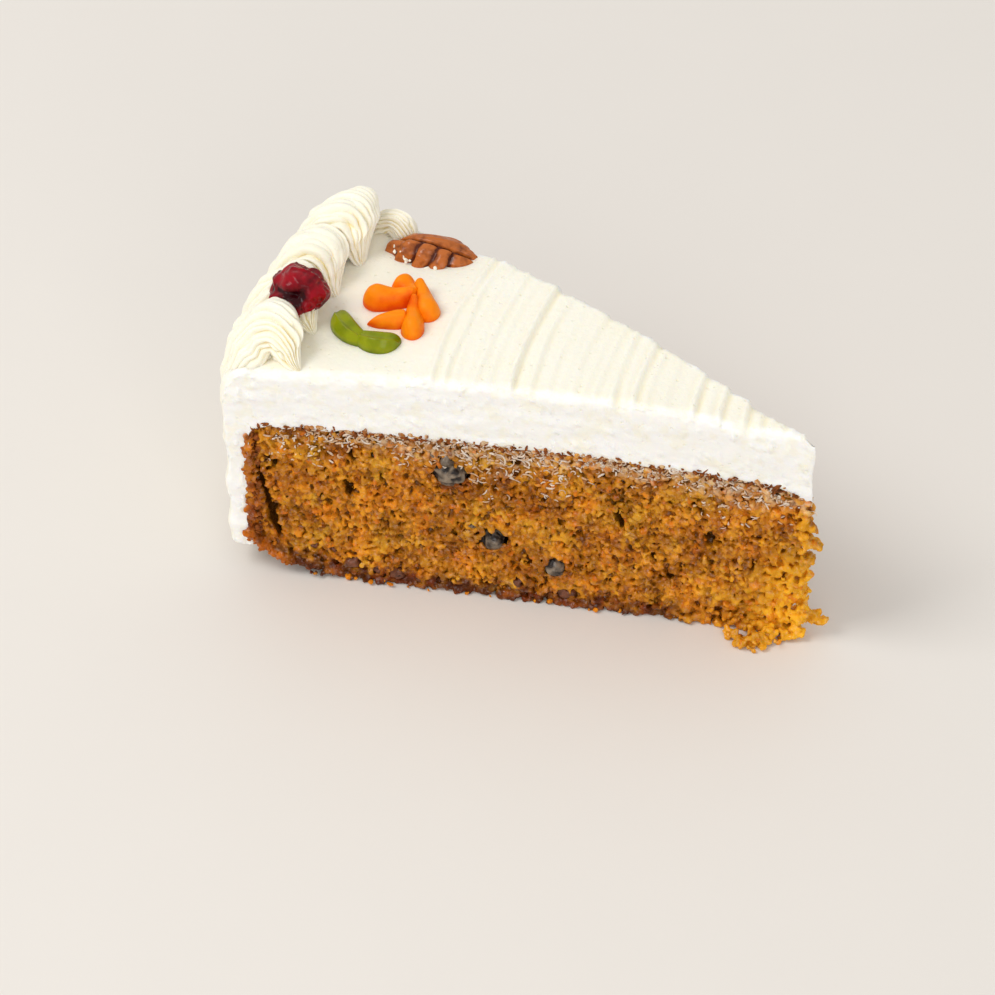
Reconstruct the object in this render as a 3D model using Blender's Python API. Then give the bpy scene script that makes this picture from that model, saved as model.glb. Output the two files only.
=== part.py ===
"""A slice of carrot cake: a wedge of nut-flecked sponge under cream cheese frosting, with a piped
border of star-tube swirls, a dried red berry, half a pecan and a sugar flower with two leaves.

The slice is a sector of a round cake. It is modelled about the cake's own axis, which passes
through the tip: radii and angles below are measured from that axis, angle 0 runs along the
middle of the slice and the two cuts lie at minus and plus half the slice's angle.
"""

import math

import bmesh
import bpy
from mathutils import Matrix, Vector, noise

MM = 0.001

# The whole cake that the slice was cut from, millimetres and degrees.
CAKE_RADIUS = 130.0
SLICE_ANGLE = 30.0
SPONGE_RADIUS = 124.8
TIP_RADIUS = 1.5
KNIFE_STRAY = 1.5
STRAY_START = 88.0
GAP = 0.3
FORM_SPREAD = 1.15

# The slice's tip, placed so that the origin lies under the middle of the slice.
HALF_ANGLE = math.radians(SLICE_ANGLE / 2)
BACK_ANGLE = math.radians(SLICE_ANGLE / 2 - KNIFE_STRAY)
TIP_X = (CAKE_RADIUS + TIP_RADIUS * math.cos(HALF_ANGLE)) / 2
TIP_Y = CAKE_RADIUS * (math.sin(HALF_ANGLE) - math.sin(BACK_ANGLE)) / 2

# Heights over the radius, as (radius, height) from the tip outwards.
SPONGE_TOP = ((0, 39.9), (5, 43.0), (14, 44.8), (60, 46.5), (110, 45.0), (119.8, 43.9))
SPONGE_CORNER = 5.0
BASE_FLAT_RADIUS = 103.0
BASE_RIM = (122.8, 5.4)
FROSTING_TOP = ((0, 57.4), (5, 58.6), (14, 58.9), (28, 60.9), (50, 62.2), (87, 61.5), (123, 58.6))
FROSTING_CORNER = 7.0
FROSTING_FOOT = 6.6

# Ridges that the palette knife left: arcs about a point beyond the tip, on the line of the cut.
RIDGE_CENTRE = 65.0
RIDGES = (16.4, 21.8, 27.6, 36.0, 40.6, 48.2, 53.3, 62.6, 66.7, 74.5, 83.9)
RIDGE_HEIGHT = 0.7
RIDGE_WIDTH = 1.6

# Dent in the frosting where the pecan was pressed in at the back cut.
DENT_RADIUS = 101.0
DENT_LENGTH = 12.0
DENT_DEPTH = 2.4

# Steps of the solids' outlines.
TURN_STEPS = 9
TOP_STEPS = 40
CORNER_STEPS = 4
WALL_STEPS = 5

# Piped swirls: (middle of the swirl across the slice, half its width, height of its bend).
SWIRLS = (
    (-24.8, 6.2, 62.6),
    (-12.6, 5.6, 57.0),
    (1.6, 6.6, 62.4),
    (15.4, 6.4, 63.4),
)
SWIRL_RADIUS = 120.4
SWIRL_BEND = 4.3
SWIRL_RISE = 5.0
SWIRL_LEG = 6.0
SWIRL_HALF_THICKNESS = 3.7
SWIRL_SLANT = 4.5
SWIRL_LOBES = 7
SWIRL_GROOVE = 0.13
SWIRL_BEND_STEPS = 8
SWIRL_SIDES = 28

# Toppings lie at a distance back from the tip, a distance across the slice and a height.
BERRY = (117.5, -11.0, 66.4)
BERRY_SIZE = (6.3, 6.2, 5.0)
PECAN = (100.0, 18.4, 58.9)
PECAN_SIZE = (10.4, 5.0, 3.8)
PECAN_TURN = 12.0
PECAN_TILT = 20.0

# Flower petals: (inner end, outer end, half width), the ends as (back, across).
PETALS = (
    ((95.0, -1.9), (106.0, -3.4), 2.9),
    ((95.8, 0.6), (100.8, 6.0), 2.9),
    ((95.6, 4.0), (89.2, -4.2), 2.9),
    ((95.0, -2.6), (89.8, -12.4), 2.6),
    ((95.4, -6.2), (101.6, -11.0), 2.2),
)
PETAL_HEIGHT = 63.2
PETAL_HALF_HEIGHT = 2.4

# Leaves: (distance back, distance across, direction, length, half width).
LEAVES = (
    (104.4, -14.0, -27.0, 13.0, 3.1),
    (96.8, -16.4, 4.0, 12.4, 3.2),
)
LEAF_HEIGHT = 62.4
LEAF_HALF_HEIGHT = 2.1

# Nut pieces in the front cut: (radius, height, half length, half height, tilt).
NUTS = (
    (80.3, 35.2, 4.0, 3.3, 15.0),
    (71.0, 16.9, 3.4, 2.9, -30.0),
    (57.2, 10.4, 2.8, 2.4, 20.0),
)
NUT_HALF_DEPTH = 4.0
NUT_SUNK = 0.6


# ---------------------------------------------------------------- shape helpers

def smooth(x):
    """Ease from 0 to 1."""
    x = min(max(x, 0.0), 1.0)
    return x * x * (3 - 2 * x)


def outline(points, x):
    """Height at x on a smooth curve through the points."""
    last = len(points) - 2
    i = max(k for k in range(last + 1) if x >= points[k][0] or k == 0)
    x0, y0 = points[i]
    x1, y1 = points[i + 1]
    before = points[max(i - 1, 0)]
    after = points[min(i + 2, last + 1)]
    slope0 = (y1 - before[1]) / (x1 - before[0])
    slope1 = (after[1] - y0) / (after[0] - x0)
    t = (x - x0) / (x1 - x0)
    span = x1 - x0
    return (
        (2 * t**3 - 3 * t**2 + 1) * y0
        + (t**3 - 2 * t**2 + t) * span * slope0
        + (-2 * t**3 + 3 * t**2) * y1
        + (t**3 - t**2) * span * slope1
    )


def back_angle(radius):
    """Angle of the back cut, which strays inwards towards the rim."""
    stray = KNIFE_STRAY * smooth((radius - STRAY_START) / (CAKE_RADIUS - STRAY_START))
    return math.radians(SLICE_ANGLE / 2 - stray)


def place(radius, turn, height):
    """Point at a radius, a height and a turn from 0, the front cut, to 1, the back cut."""
    angle = -HALF_ANGLE + turn * (HALF_ANGLE + back_angle(radius))
    return Vector((TIP_X - radius * math.cos(angle), TIP_Y + radius * math.sin(angle), height))


def on_slice(back, across, height):
    """Point at a distance back from the tip, a distance across the slice and a height."""
    return Vector((TIP_X - back, TIP_Y + across, height))


def dent(radius, turn):
    """Depth of the dent under the pecan."""
    along = math.exp(-(((radius - DENT_RADIUS) / DENT_LENGTH) ** 2))
    return DENT_DEPTH * along * smooth((turn - 0.55) / 0.45)


def ridge(point):
    """Height that the knife's ridges add at a point of the top."""
    centre_x = TIP_X + RIDGE_CENTRE * math.cos(HALF_ANGLE)
    centre_y = TIP_Y + RIDGE_CENTRE * math.sin(HALF_ANGLE)
    far = math.hypot(point.x - centre_x, point.y - centre_y) - RIDGE_CENTRE
    return sum(RIDGE_HEIGHT * math.exp(-(((far - r) / RIDGE_WIDTH) ** 2)) for r in RIDGES)


def add_object(name, mesh, material):
    """Put a mesh, in millimetres, into the scene in metres as a smooth-shaded object."""
    mesh.transform(Matrix.Scale(MM, 4))
    mesh.shade_smooth()
    mesh.set_sharp_from_angle(angle=math.radians(40))
    thing = bpy.data.objects.new(name, mesh)
    bpy.context.collection.objects.link(thing)
    if material:
        mesh.materials.append(material)
    return thing


def to_mesh(name, bm):
    """Close off a bmesh as mesh data with its faces pointing outwards."""
    bmesh.ops.recalc_face_normals(bm, faces=bm.faces)
    mesh = bpy.data.meshes.new(name)
    bm.to_mesh(mesh)
    bm.free()
    return mesh


def tube(rings, poles):
    """Closed skin through a row of rings, with a fan of faces to a pole at each end."""
    bm = bmesh.new()
    rows = [[bm.verts.new(point) for point in ring] for ring in rings]
    count = len(rows[0])
    for row, following in zip(rows, rows[1:]):
        for i in range(count):
            j = (i + 1) % count
            bm.faces.new((row[i], row[j], following[j], following[i]))
    for row, pole in zip((rows[0], rows[-1]), poles):
        end = bm.verts.new(pole)
        for i in range(count):
            bm.faces.new((row[i], row[(i + 1) % count], end))
    return bm


def subtract(target, name, cutter):
    """Cut one object from another with an exact Boolean."""
    cut = target.modifiers.new(name, "BOOLEAN")
    cut.operation = "DIFFERENCE"
    cut.solver = "EXACT"
    cut.object = cutter


def as_cutter(thing):
    """Keep an object out of the part: it only cuts others."""
    thing.hide_render = True
    thing.display_type = "WIRE"
    return thing


def grown(thing, gap=GAP):
    """A cutter in the shape of an object, larger by a gap all round."""
    copy = thing.copy()
    copy.name = f"{thing.name}_pocket"
    copy.data = thing.data.copy()
    bpy.context.collection.objects.link(copy)
    swell = copy.modifiers.new("gap", "DISPLACE")
    swell.strength = gap * MM
    swell.mid_level = 0.0
    return as_cutter(copy)


# ---------------------------------------------------------------- materials

def finish(name, colour, roughness, coat=0.0, subsurface=0.0):
    """Principled material of a food: colour, gloss and how deep light goes in."""
    material = bpy.data.materials.new(name)
    material.use_nodes = True
    shader = material.node_tree.nodes["Principled BSDF"]
    shader.inputs["Base Color"].default_value = (*colour, 1.0)
    shader.inputs["Roughness"].default_value = roughness
    shader.inputs["Metallic"].default_value = 0.0
    shader.inputs["Coat Weight"].default_value = coat
    shader.inputs["Subsurface Weight"].default_value = subsurface
    return material


# ---------------------------------------------------------------- cake layers

def corner(middle_r, middle_z, radius, steps):
    """Quarter round from the top down to the side, as (radius, height)."""
    turns = [math.radians(90) * k / steps for k in range(steps + 1)]
    return [(middle_r + radius * math.sin(a), middle_z + radius * math.cos(a)) for a in turns]


def between(low, high, steps):
    """Evenly spaced numbers from low to high, without the last."""
    return [low + (high - low) * k / steps for k in range(steps)]


def sponge_skin(gap):
    """Top and side of the sponge in section, moved outwards by a gap."""
    edge = SPONGE_RADIUS - SPONGE_CORNER
    top = [(r, outline(SPONGE_TOP, r) + gap) for r in between(TIP_RADIUS, edge, TOP_STEPS)]
    crest = outline(SPONGE_TOP, edge) - SPONGE_CORNER
    bend = corner(edge, crest, SPONGE_CORNER + gap, CORNER_STEPS)
    wall = [(SPONGE_RADIUS + gap, z) for z in between(crest, FROSTING_FOOT, WALL_STEPS)[1:]]
    return top + bend + wall + [(SPONGE_RADIUS + gap, FROSTING_FOOT)]


def sponge_base():
    """Underside of the sponge in section: flat, then rising to the edge that the tin gave it."""
    rim, rise = BASE_RIM
    slope = rise / (rim - BASE_FLAT_RADIUS)
    steps = TOP_STEPS + CORNER_STEPS + WALL_STEPS
    line = [(r, max(0.0, (r - BASE_FLAT_RADIUS) * slope)) for r in between(TIP_RADIUS, rim, steps)]
    return line + [BASE_RIM]


def frosting_skin(gap):
    """Top and wall of the frosting in section, moved outwards by a gap."""
    edge = CAKE_RADIUS - FROSTING_CORNER
    top = [(r, outline(FROSTING_TOP, r) + gap) for r in between(TIP_RADIUS, edge, TOP_STEPS)]
    crest = outline(FROSTING_TOP, edge) - FROSTING_CORNER
    bend = corner(edge, crest, FROSTING_CORNER + gap, CORNER_STEPS)
    wall = [(CAKE_RADIUS + gap, z) for z in between(crest, FROSTING_FOOT, WALL_STEPS)[1:]]
    return top + bend + wall + [(CAKE_RADIUS - 1.2 + gap, FROSTING_FOOT)]


def wedge(inner, outer, spread):
    """Turn the section between two lines through the slice, from cut to cut."""
    bm = bmesh.new()
    grids = []
    for line, is_top in ((inner, False), (outer, spread)):
        rows = []
        for step in range(TURN_STEPS + 1):
            turn = step / TURN_STEPS
            row = [place(radius, turn, z) for radius, z in line]
            for (radius, _), point in zip(line[:TOP_STEPS] if is_top else (), row):
                point.z += ridge(point) - dent(radius, turn)
            rows.append([bm.verts.new(point) for point in row])
        grids.append(rows)
    under, over = grids
    count = len(inner)
    for rows in grids:
        for row, following in zip(rows, rows[1:]):
            for i in range(count - 1):
                bm.faces.new((row[i], row[i + 1], following[i + 1], following[i]))
    for low, high in ((under[0], over[0]), (under[-1], over[-1])):
        for i in range(count - 1):
            bm.faces.new((low[i], low[i + 1], high[i + 1], high[i]))
    for i in (0, count - 1):
        for step in range(TURN_STEPS):
            bm.faces.new((under[step][i], under[step + 1][i], over[step + 1][i], over[step][i]))
    return bm


def make_sponge(material):
    """Sponge from the tip to the frosted rim, flat on its underside."""
    bm = wedge(sponge_base(), sponge_skin(0.0), spread=False)
    return add_object("sponge", to_mesh("sponge", bm), material)


def make_frosting(material):
    """Frosting over the top and down the outer side of the sponge."""
    bm = wedge(sponge_skin(GAP), frosting_skin(0.0), spread=True)
    return add_object("frosting", to_mesh("frosting", bm), material)


def make_frosting_form():
    """Cutter that gives the swirls and toppings their seat on the frosting."""
    bm = wedge(sponge_base(), frosting_skin(GAP), spread=True)
    for v in bm.verts:
        v.co.y = TIP_Y + (v.co.y - TIP_Y) * FORM_SPREAD
    return as_cutter(add_object("frosting_form", to_mesh("frosting_form", bm), None))


# ---------------------------------------------------------------- piped swirls

def swirl_line(middle, height):
    """Middle line of one loop: up from its inner foot, over the top and down to the rim."""
    line = []
    legs = [(0.0, -SWIRL_LEG * (1 - k / 2)) for k in range(2)]
    turns = [(180.0 * k / SWIRL_BEND_STEPS, 0.0) for k in range(SWIRL_BEND_STEPS + 1)]
    outer = [(180.0, -SWIRL_LEG * (k + 1) / 2) for k in range(2)]
    stops = legs + turns + outer
    for number, (degrees, drop) in enumerate(stops):
        bend = math.radians(degrees)
        share = number / (len(stops) - 1)
        radius = SWIRL_RADIUS - SWIRL_BEND * math.cos(bend)
        across = middle - SWIRL_SLANT * smooth((share - 0.3) / 0.7)
        back = math.sqrt(radius * radius - across * across)
        centre = on_slice(back, across, height + SWIRL_RISE * math.sin(bend) + drop)
        line.append((centre, Vector((math.cos(bend), 0, math.sin(bend)))))
    return line


def swirl_rings(middle, half_width, height):
    """Star-shaped sections along one loop."""
    rings = []
    for centre, outward in swirl_line(middle, height):
        ring = []
        for side in range(SWIRL_SIDES):
            a = 2 * math.pi * side / SWIRL_SIDES
            lobe = 1 + SWIRL_GROOVE * math.cos(SWIRL_LOBES * a)
            across = Vector((0, half_width * math.sin(a) * lobe, 0))
            ring.append(centre + SWIRL_HALF_THICKNESS * math.cos(a) * lobe * outward + across)
        rings.append(ring)
    return rings


def make_knife_wedge():
    """The space between the two cuts, which trims whatever is piped over them."""
    bm = bmesh.new()
    reach = CAKE_RADIUS + 10
    corners = ((TIP_RADIUS, 0), (reach, 0), (reach, 1), (TIP_RADIUS, 1))
    floor = [place(radius, turn, -10) for radius, turn in corners]
    base = bm.faces.new([bm.verts.new(point) for point in floor])
    raised = bmesh.ops.extrude_face_region(bm, geom=[base])
    lifted = [v for v in raised["geom"] if isinstance(v, bmesh.types.BMVert)]
    bmesh.ops.translate(bm, verts=lifted, vec=(0, 0, 100))
    return as_cutter(add_object("knife_wedge", to_mesh("knife_wedge", bm), None))


def make_swirls(material, form, knife):
    """Row of piped loops along the rim, each clear of the one before it."""
    swirls = []
    for number, sizes in enumerate(SWIRLS, start=1):
        rings = swirl_rings(*sizes)
        ends = [sum(ring, Vector()) / SWIRL_SIDES for ring in (rings[0], rings[-1])]
        bm = tube(rings, ends)
        swirl = add_object(f"swirl_{number}", to_mesh(f"swirl_{number}", bm), material)
        trim = swirl.modifiers.new("knife", "BOOLEAN")
        trim.operation = "INTERSECT"
        trim.solver = "EXACT"
        trim.object = knife
        subtract(swirl, "seat", form)
        if swirls:
            subtract(swirl, "neighbour", grown(swirls[-1]))
        swirls.append(swirl)
    return swirls


# ---------------------------------------------------------------- toppings

def rounded(half_length, half_width, half_height, sides, stations, shape):
    """Rounded body that lies along X; shape(s, a) gives its local scale."""
    rings = []
    for k in range(1, stations):
        s = -math.cos(math.pi * k / stations)
        girth = math.sqrt(1 - s * s)
        ring = []
        for side in range(sides):
            a = 2 * math.pi * side / sides
            scale = girth * shape(s, a)
            y = half_width * math.cos(a) * scale
            z = half_height * math.sin(a) * scale
            ring.append(Vector((half_length * s, y, z)))
        rings.append(ring)
    return tube(rings, (Vector((-half_length, 0, 0)), Vector((half_length, 0, 0))))


def lay(mesh, place_at, turn=0.0, tilt=0.0):
    """Turn a mesh about its length and about the vertical, then put it in its place."""
    turned = Matrix.Rotation(math.radians(turn), 4, "Z") @ Matrix.Rotation(math.radians(tilt), 4, "X")
    mesh.transform(Matrix.Translation(place_at) @ turned)


def make_berry(material):
    """Dried berry: a flattened ball with a puckered skin."""
    def pucker(s, a):
        return 1 + 0.10 * noise.noise(Vector((2 * s, 1.7 * math.cos(a), 1.7 * math.sin(a))))

    mesh = to_mesh("dried_berry", rounded(*BERRY_SIZE, 18, 10, pucker))
    lay(mesh, on_slice(*BERRY))
    return add_object("dried_berry", mesh, material)


def make_pecan(material):
    """Half a pecan, round side up, with its long groove and knuckled lobes."""
    def lobes(s, a):
        groove = 0.16 * math.exp(-((math.cos(a) / 0.18) ** 2)) * (math.sin(a) > 0)
        knuckle = 0.05 * math.cos(4.5 * math.pi * s) * abs(math.cos(a))
        return 1 - groove + knuckle

    mesh = to_mesh("pecan_half", rounded(*PECAN_SIZE, 20, 16, lobes))
    lay(mesh, on_slice(*PECAN), PECAN_TURN, PECAN_TILT)
    return add_object("pecan_half", mesh, material)


def make_petals(material, form):
    """Five sugar petals pressed together at their narrow inner ends."""
    def plump(s, a):
        return 0.94 + 0.24 * s

    petals = []
    for number, (inner, outer, half_width) in enumerate(PETALS, start=1):
        name = f"flower_petal_{number}"
        start = on_slice(*inner, PETAL_HEIGHT)
        end = on_slice(*outer, PETAL_HEIGHT)
        way = end - start
        mesh = to_mesh(name, rounded(way.length / 2, half_width, PETAL_HALF_HEIGHT, 12, 8, plump))
        lay(mesh, (start + end) / 2, math.degrees(math.atan2(way.y, way.x)))
        petal = add_object(name, mesh, material)
        subtract(petal, "seat", form)
        for other in petals:
            subtract(petal, f"clear_{other.name}", grown(other))
        petals.append(petal)
    return petals


def make_leaves(material, form, petals):
    """Two sugar leaves, the second against the end of the first."""
    leaves = []
    for number, (back, across, angle, length, half_width) in enumerate(LEAVES, start=1):
        def blade(s, a):
            return 0.94 + 0.08 * s * (-1) ** number

        name = f"leaf_{number}"
        mesh = to_mesh(name, rounded(length / 2, half_width, LEAF_HALF_HEIGHT, 12, 8, blade))
        lay(mesh, on_slice(back, across, LEAF_HEIGHT), angle)
        leaf = add_object(name, mesh, material)
        subtract(leaf, "seat", form)
        for other in petals + leaves:
            subtract(leaf, f"clear_{other.name}", grown(other))
        leaves.append(leaf)
    return leaves


def make_nuts(material, knife):
    """Nut pieces that the front cut bared, flush with it."""
    nuts = []
    inward = Vector((math.sin(-HALF_ANGLE), math.cos(HALF_ANGLE), 0))
    for number, (radius, height, half_length, half_height, tilt) in enumerate(NUTS, start=1):
        def chip(s, a):
            return 1 + 0.22 * noise.noise(Vector((3 * s + 7 * number, 2 * math.cos(a), 2 * math.sin(a))))

        name = f"nut_{number}"
        mesh = to_mesh(name, rounded(half_length, NUT_HALF_DEPTH, half_height, 12, 8, chip))
        mesh.transform(Matrix.Rotation(math.radians(tilt), 4, "Y"))
        lay(mesh, place(radius, 0, height) + NUT_SUNK * inward, SLICE_ANGLE / 2)
        nut = add_object(name, mesh, material)
        trim = nut.modifiers.new("knife", "BOOLEAN")
        trim.operation = "INTERSECT"
        trim.solver = "EXACT"
        trim.object = knife
        nuts.append(nut)
    return nuts


def main():
    for thing in list(bpy.data.objects):
        bpy.data.objects.remove(thing, do_unlink=True)
    crumb = finish("carrot_sponge", (0.46, 0.18, 0.02), 0.85)
    cream = finish("cream_frosting", (0.90, 0.86, 0.74), 0.55, subsurface=0.3)
    berry_skin = finish("berry_skin", (0.22, 0.005, 0.015), 0.25, coat=0.5)
    pecan_skin = finish("pecan_skin", (0.20, 0.06, 0.02), 0.45)
    orange_sugar = finish("orange_sugar", (1.0, 0.22, 0.0), 0.35, subsurface=0.3)
    green_sugar = finish("green_sugar", (0.24, 0.30, 0.01), 0.35, subsurface=0.3)
    nut_meat = finish("nut_meat", (0.05, 0.04, 0.035), 0.6)

    sponge = make_sponge(crumb)
    frosting = make_frosting(cream)
    form = make_frosting_form()
    knife = make_knife_wedge()
    swirls = make_swirls(cream, form, knife)
    berry = make_berry(berry_skin)
    pecan = make_pecan(pecan_skin)
    petals = make_petals(orange_sugar, form)
    make_leaves(green_sugar, form, petals)
    nuts = make_nuts(nut_meat, knife)

    subtract(berry, "seat", form)
    for swirl in swirls:
        subtract(swirl, "berry_seat", grown(berry))
    subtract(frosting, "pecan_seat", grown(pecan))
    for nut in nuts:
        subtract(sponge, f"{nut.name}_seat", grown(nut))


main()
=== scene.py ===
"""Looks of the carrot cake slice: crumb, cream and toppings, built around the packed solids.

Everything is modelled in millimetres and scaled to metres when a piece is done. Radii and angles
are taken about the axis of the whole round cake, which passes through the slice's tip: angle 0
runs along the middle of the slice, and the two cuts lie at minus and plus half the slice's angle.
"""

import itertools
import math

import bpy
import numpy as np
import openvdb
from mathutils import Matrix, Vector


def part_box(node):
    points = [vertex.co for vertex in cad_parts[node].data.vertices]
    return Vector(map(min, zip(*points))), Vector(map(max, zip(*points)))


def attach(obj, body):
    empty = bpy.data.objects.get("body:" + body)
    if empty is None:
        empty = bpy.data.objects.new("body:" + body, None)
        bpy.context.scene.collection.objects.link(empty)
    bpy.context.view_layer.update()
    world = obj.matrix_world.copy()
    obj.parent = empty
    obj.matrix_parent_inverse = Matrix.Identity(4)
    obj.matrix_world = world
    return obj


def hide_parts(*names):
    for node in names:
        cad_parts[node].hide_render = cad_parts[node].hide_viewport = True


bl_info = {
    "name": "Carrot cake slice",
    "version": (1, 0, 0),
    "blender": (4, 5, 0),
    "location": "3D View > Sidebar > Cake",
    "description": "Crumb, cream and toppings for a slice of carrot cake",
    "category": "Object",
}

MM = 0.001

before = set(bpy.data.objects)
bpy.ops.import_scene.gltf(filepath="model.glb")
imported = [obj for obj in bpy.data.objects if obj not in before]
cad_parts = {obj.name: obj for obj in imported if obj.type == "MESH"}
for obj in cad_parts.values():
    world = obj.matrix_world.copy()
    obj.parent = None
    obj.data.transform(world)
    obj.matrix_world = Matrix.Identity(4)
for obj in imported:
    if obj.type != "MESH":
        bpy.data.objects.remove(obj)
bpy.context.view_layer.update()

# ---------------------------------------------------------------- the slice that the frame gives

HALF_ANGLE = math.radians(15)
COS_HALF, SIN_HALF = math.cos(HALF_ANGLE), math.sin(HALF_ANGLE)
TIP_RADIUS = 1.5

# The thickness of the frosting on the outer side.
WALL = 4.8

# The back cut strays inwards by an angle, from a radius outwards.
KNIFE_STRAY = math.radians(1.5)
STRAY_START = 88.0

_low, _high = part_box("frosting")
CAKE_RADIUS = (_high.x - _low.x) / MM + TIP_RADIUS * COS_HALF
TIP_X = _high.x / MM + TIP_RADIUS * COS_HALF
TIP_Y = _low.y / MM + CAKE_RADIUS * SIN_HALF
FOOT = _low.z / MM
SPONGE_RADIUS = CAKE_RADIUS - WALL

# Heights over the radius, as (radius, height) from the tip outwards, and the outer corners.
SPONGE_TOP = ((0, 39.9), (5, 43.0), (14, 44.8), (60, 46.5), (110, 45.0), (119.8, 43.9))
SPONGE_CORNER = 5.0
FROSTING_TOP = ((0, 57.4), (5, 58.6), (14, 58.9), (28, 60.9), (50, 62.2), (87, 61.5), (123, 58.6))
FROSTING_CORNER = 7.0

# The sponge's underside is flat out to a radius, then rises, and curls up near the wall.
BASE_FLAT_RADIUS = 103.0
BASE_RISE = 5.4 / (122.8 - BASE_FLAT_RADIUS)
BASE_CURL_RADIUS = 116.5
BASE_CURL = 0.062

# Ridges that the palette knife left, arcs about a point this far beyond the tip along the back
# cut, as (distance from the tip, height).
RIDGE_CENTRE = 65.0
RIDGES = (
    (3.0, 0.25), (5.6, 0.20), (8.2, 0.30), (10.8, 0.25), (13.4, 0.30), (16.4, 0.60), (21.8, 0.70),
    (24.4, 0.15), (27.6, 0.62), (30.2, 0.12), (33.4, 0.14), (37.2, 0.20), (40.6, 0.50), (42.4, 0.14),
    (44.9, 0.42), (48.6, 0.26), (51.0, 0.12), (53.6, 0.20), (56.0, 0.10), (58.8, 0.16), (62.6, 0.34),
    (66.7, 0.80), (69.4, 0.10), (71.8, 0.18), (74.6, 0.30), (76.8, 0.10), (78.8, 0.18), (81.2, 0.36),
    (83.9, 0.50),
)

# The frosting's top sinks towards the back cut round a radius, over a length and by a depth.
DENT_RADIUS = 101.0
DENT_LENGTH = 12.0
DENT_DEPTH = 2.4


def linear(hex_colour):
    """Linear colour of an sRGB hex value."""
    parts = [int(hex_colour[k:k + 2], 16) / 255 for k in (1, 3, 5)]
    return (*[c / 12.92 if c <= 0.04045 else ((c + 0.055) / 1.055) ** 2.4 for c in parts], 1.0)


def smooth(x):
    """Ease from 0 to 1."""
    x = np.clip(x, 0.0, 1.0)
    return x * x * (3 - 2 * x)


def outline(points, x):
    """Height at x on a smooth curve through the points."""
    x = np.asarray(x, float)
    xs, ys = np.array(points, float).T
    last = len(xs) - 2
    i = np.clip(np.searchsorted(xs, x, side="right") - 1, 0, last)
    before, after = np.maximum(i - 1, 0), np.minimum(i + 2, last + 1)
    slope0 = (ys[i + 1] - ys[before]) / (xs[i + 1] - xs[before])
    slope1 = (ys[after] - ys[i]) / (xs[after] - xs[i])
    span = xs[i + 1] - xs[i]
    t = (x - xs[i]) / span
    return (
        (2 * t**3 - 3 * t**2 + 1) * ys[i]
        + (t**3 - 2 * t**2 + t) * span * slope0
        + (-2 * t**3 + 3 * t**2) * ys[i + 1]
        + (t**3 - t**2) * span * slope1
    )


def back_angle(radius):
    """Angle of the back cut, which strays inwards towards the rim."""
    return HALF_ANGLE - KNIFE_STRAY * smooth((radius - STRAY_START) / (CAKE_RADIUS - STRAY_START))


def at(radius, angle, height):
    """Points at radii, angles and heights, one row each."""
    radius, angle, height = np.broadcast_arrays(radius, angle, height)
    return np.stack(
        (TIP_X - radius * np.cos(angle), TIP_Y + radius * np.sin(angle), height), axis=-1
    )


def on_slice(back, across, height):
    """Point at a distance back from the tip, a distance across the slice and a height."""
    return Vector((TIP_X - back, TIP_Y + across, height))


def sponge_top(radius):
    """Top of the sponge at a radius, with its round outer corner."""
    edge = SPONGE_RADIUS - SPONGE_CORNER
    past = np.clip(radius - edge, 0, SPONGE_CORNER)
    drop = SPONGE_CORNER - np.sqrt(SPONGE_CORNER**2 - past**2)
    return outline(SPONGE_TOP, np.minimum(radius, edge)) - drop


def sponge_base(radius):
    """Underside of the sponge at a radius."""
    curl_up = BASE_CURL * np.maximum(0.0, radius - BASE_CURL_RADIUS) ** 2
    return np.maximum(0.0, (radius - BASE_FLAT_RADIUS) * BASE_RISE) + curl_up


# ---------------------------------------------------------------- noise

def cloud(points, size, seed):
    """Smooth random values from -1 to 1 that change over a size in millimetres."""
    cells = 32
    lattice = np.random.default_rng(seed).uniform(-1, 1, (cells, cells, cells)).astype(np.float32)
    q = np.asarray(points, np.float32) / np.asarray(size, np.float32)
    cell = np.floor(q).astype(np.int32)
    f = q - cell
    f = f * f * (3 - 2 * f)
    total = 0
    for step in itertools.product((0, 1), repeat=3):
        i, j, k = ((cell[..., axis] + step[axis]) % cells for axis in range(3))
        x, y, z = (f[..., axis] if step[axis] else 1 - f[..., axis] for axis in range(3))
        total = total + lattice[i, j, k] * (x * y * z)
    return total


def clouds(points, size, seed):
    """Cloud noise with two finer and weaker layers added."""
    return sum(cloud(points, np.asarray(size) / 2**k, seed + k) / 2**k for k in range(3))


# ---------------------------------------------------------------- modelling helpers

# Points closer than this, in millimetres, are one.
WELD = 1e-4


def mm(metres):
    """A property's length in millimetres."""
    return metres / MM


def coordinates(mesh):
    """Vertex positions of a mesh, one row each."""
    co = np.empty(len(mesh.vertices) * 3, np.float32)
    mesh.vertices.foreach_get("co", co)
    return co.reshape(-1, 3).astype(float)


def set_coordinates(mesh, points):
    """Put a mesh's vertices at the points."""
    mesh.vertices.foreach_set("co", np.asarray(points, np.float32).ravel())
    mesh.update()


def added(primitive, name, **settings):
    """Add a primitive with nothing else selected and return it."""
    if bpy.context.object and bpy.context.object.mode != "OBJECT":
        bpy.ops.object.mode_set(mode="OBJECT")
    bpy.ops.object.select_all(action="DESELECT")
    primitive(**settings)
    piece = bpy.context.object
    piece.name = piece.data.name = name
    return piece


def choose(piece):
    """Make a piece the only selected and active one."""
    bpy.ops.object.select_all(action="DESELECT")
    piece.select_set(True)
    bpy.context.view_layer.objects.active = piece


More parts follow.
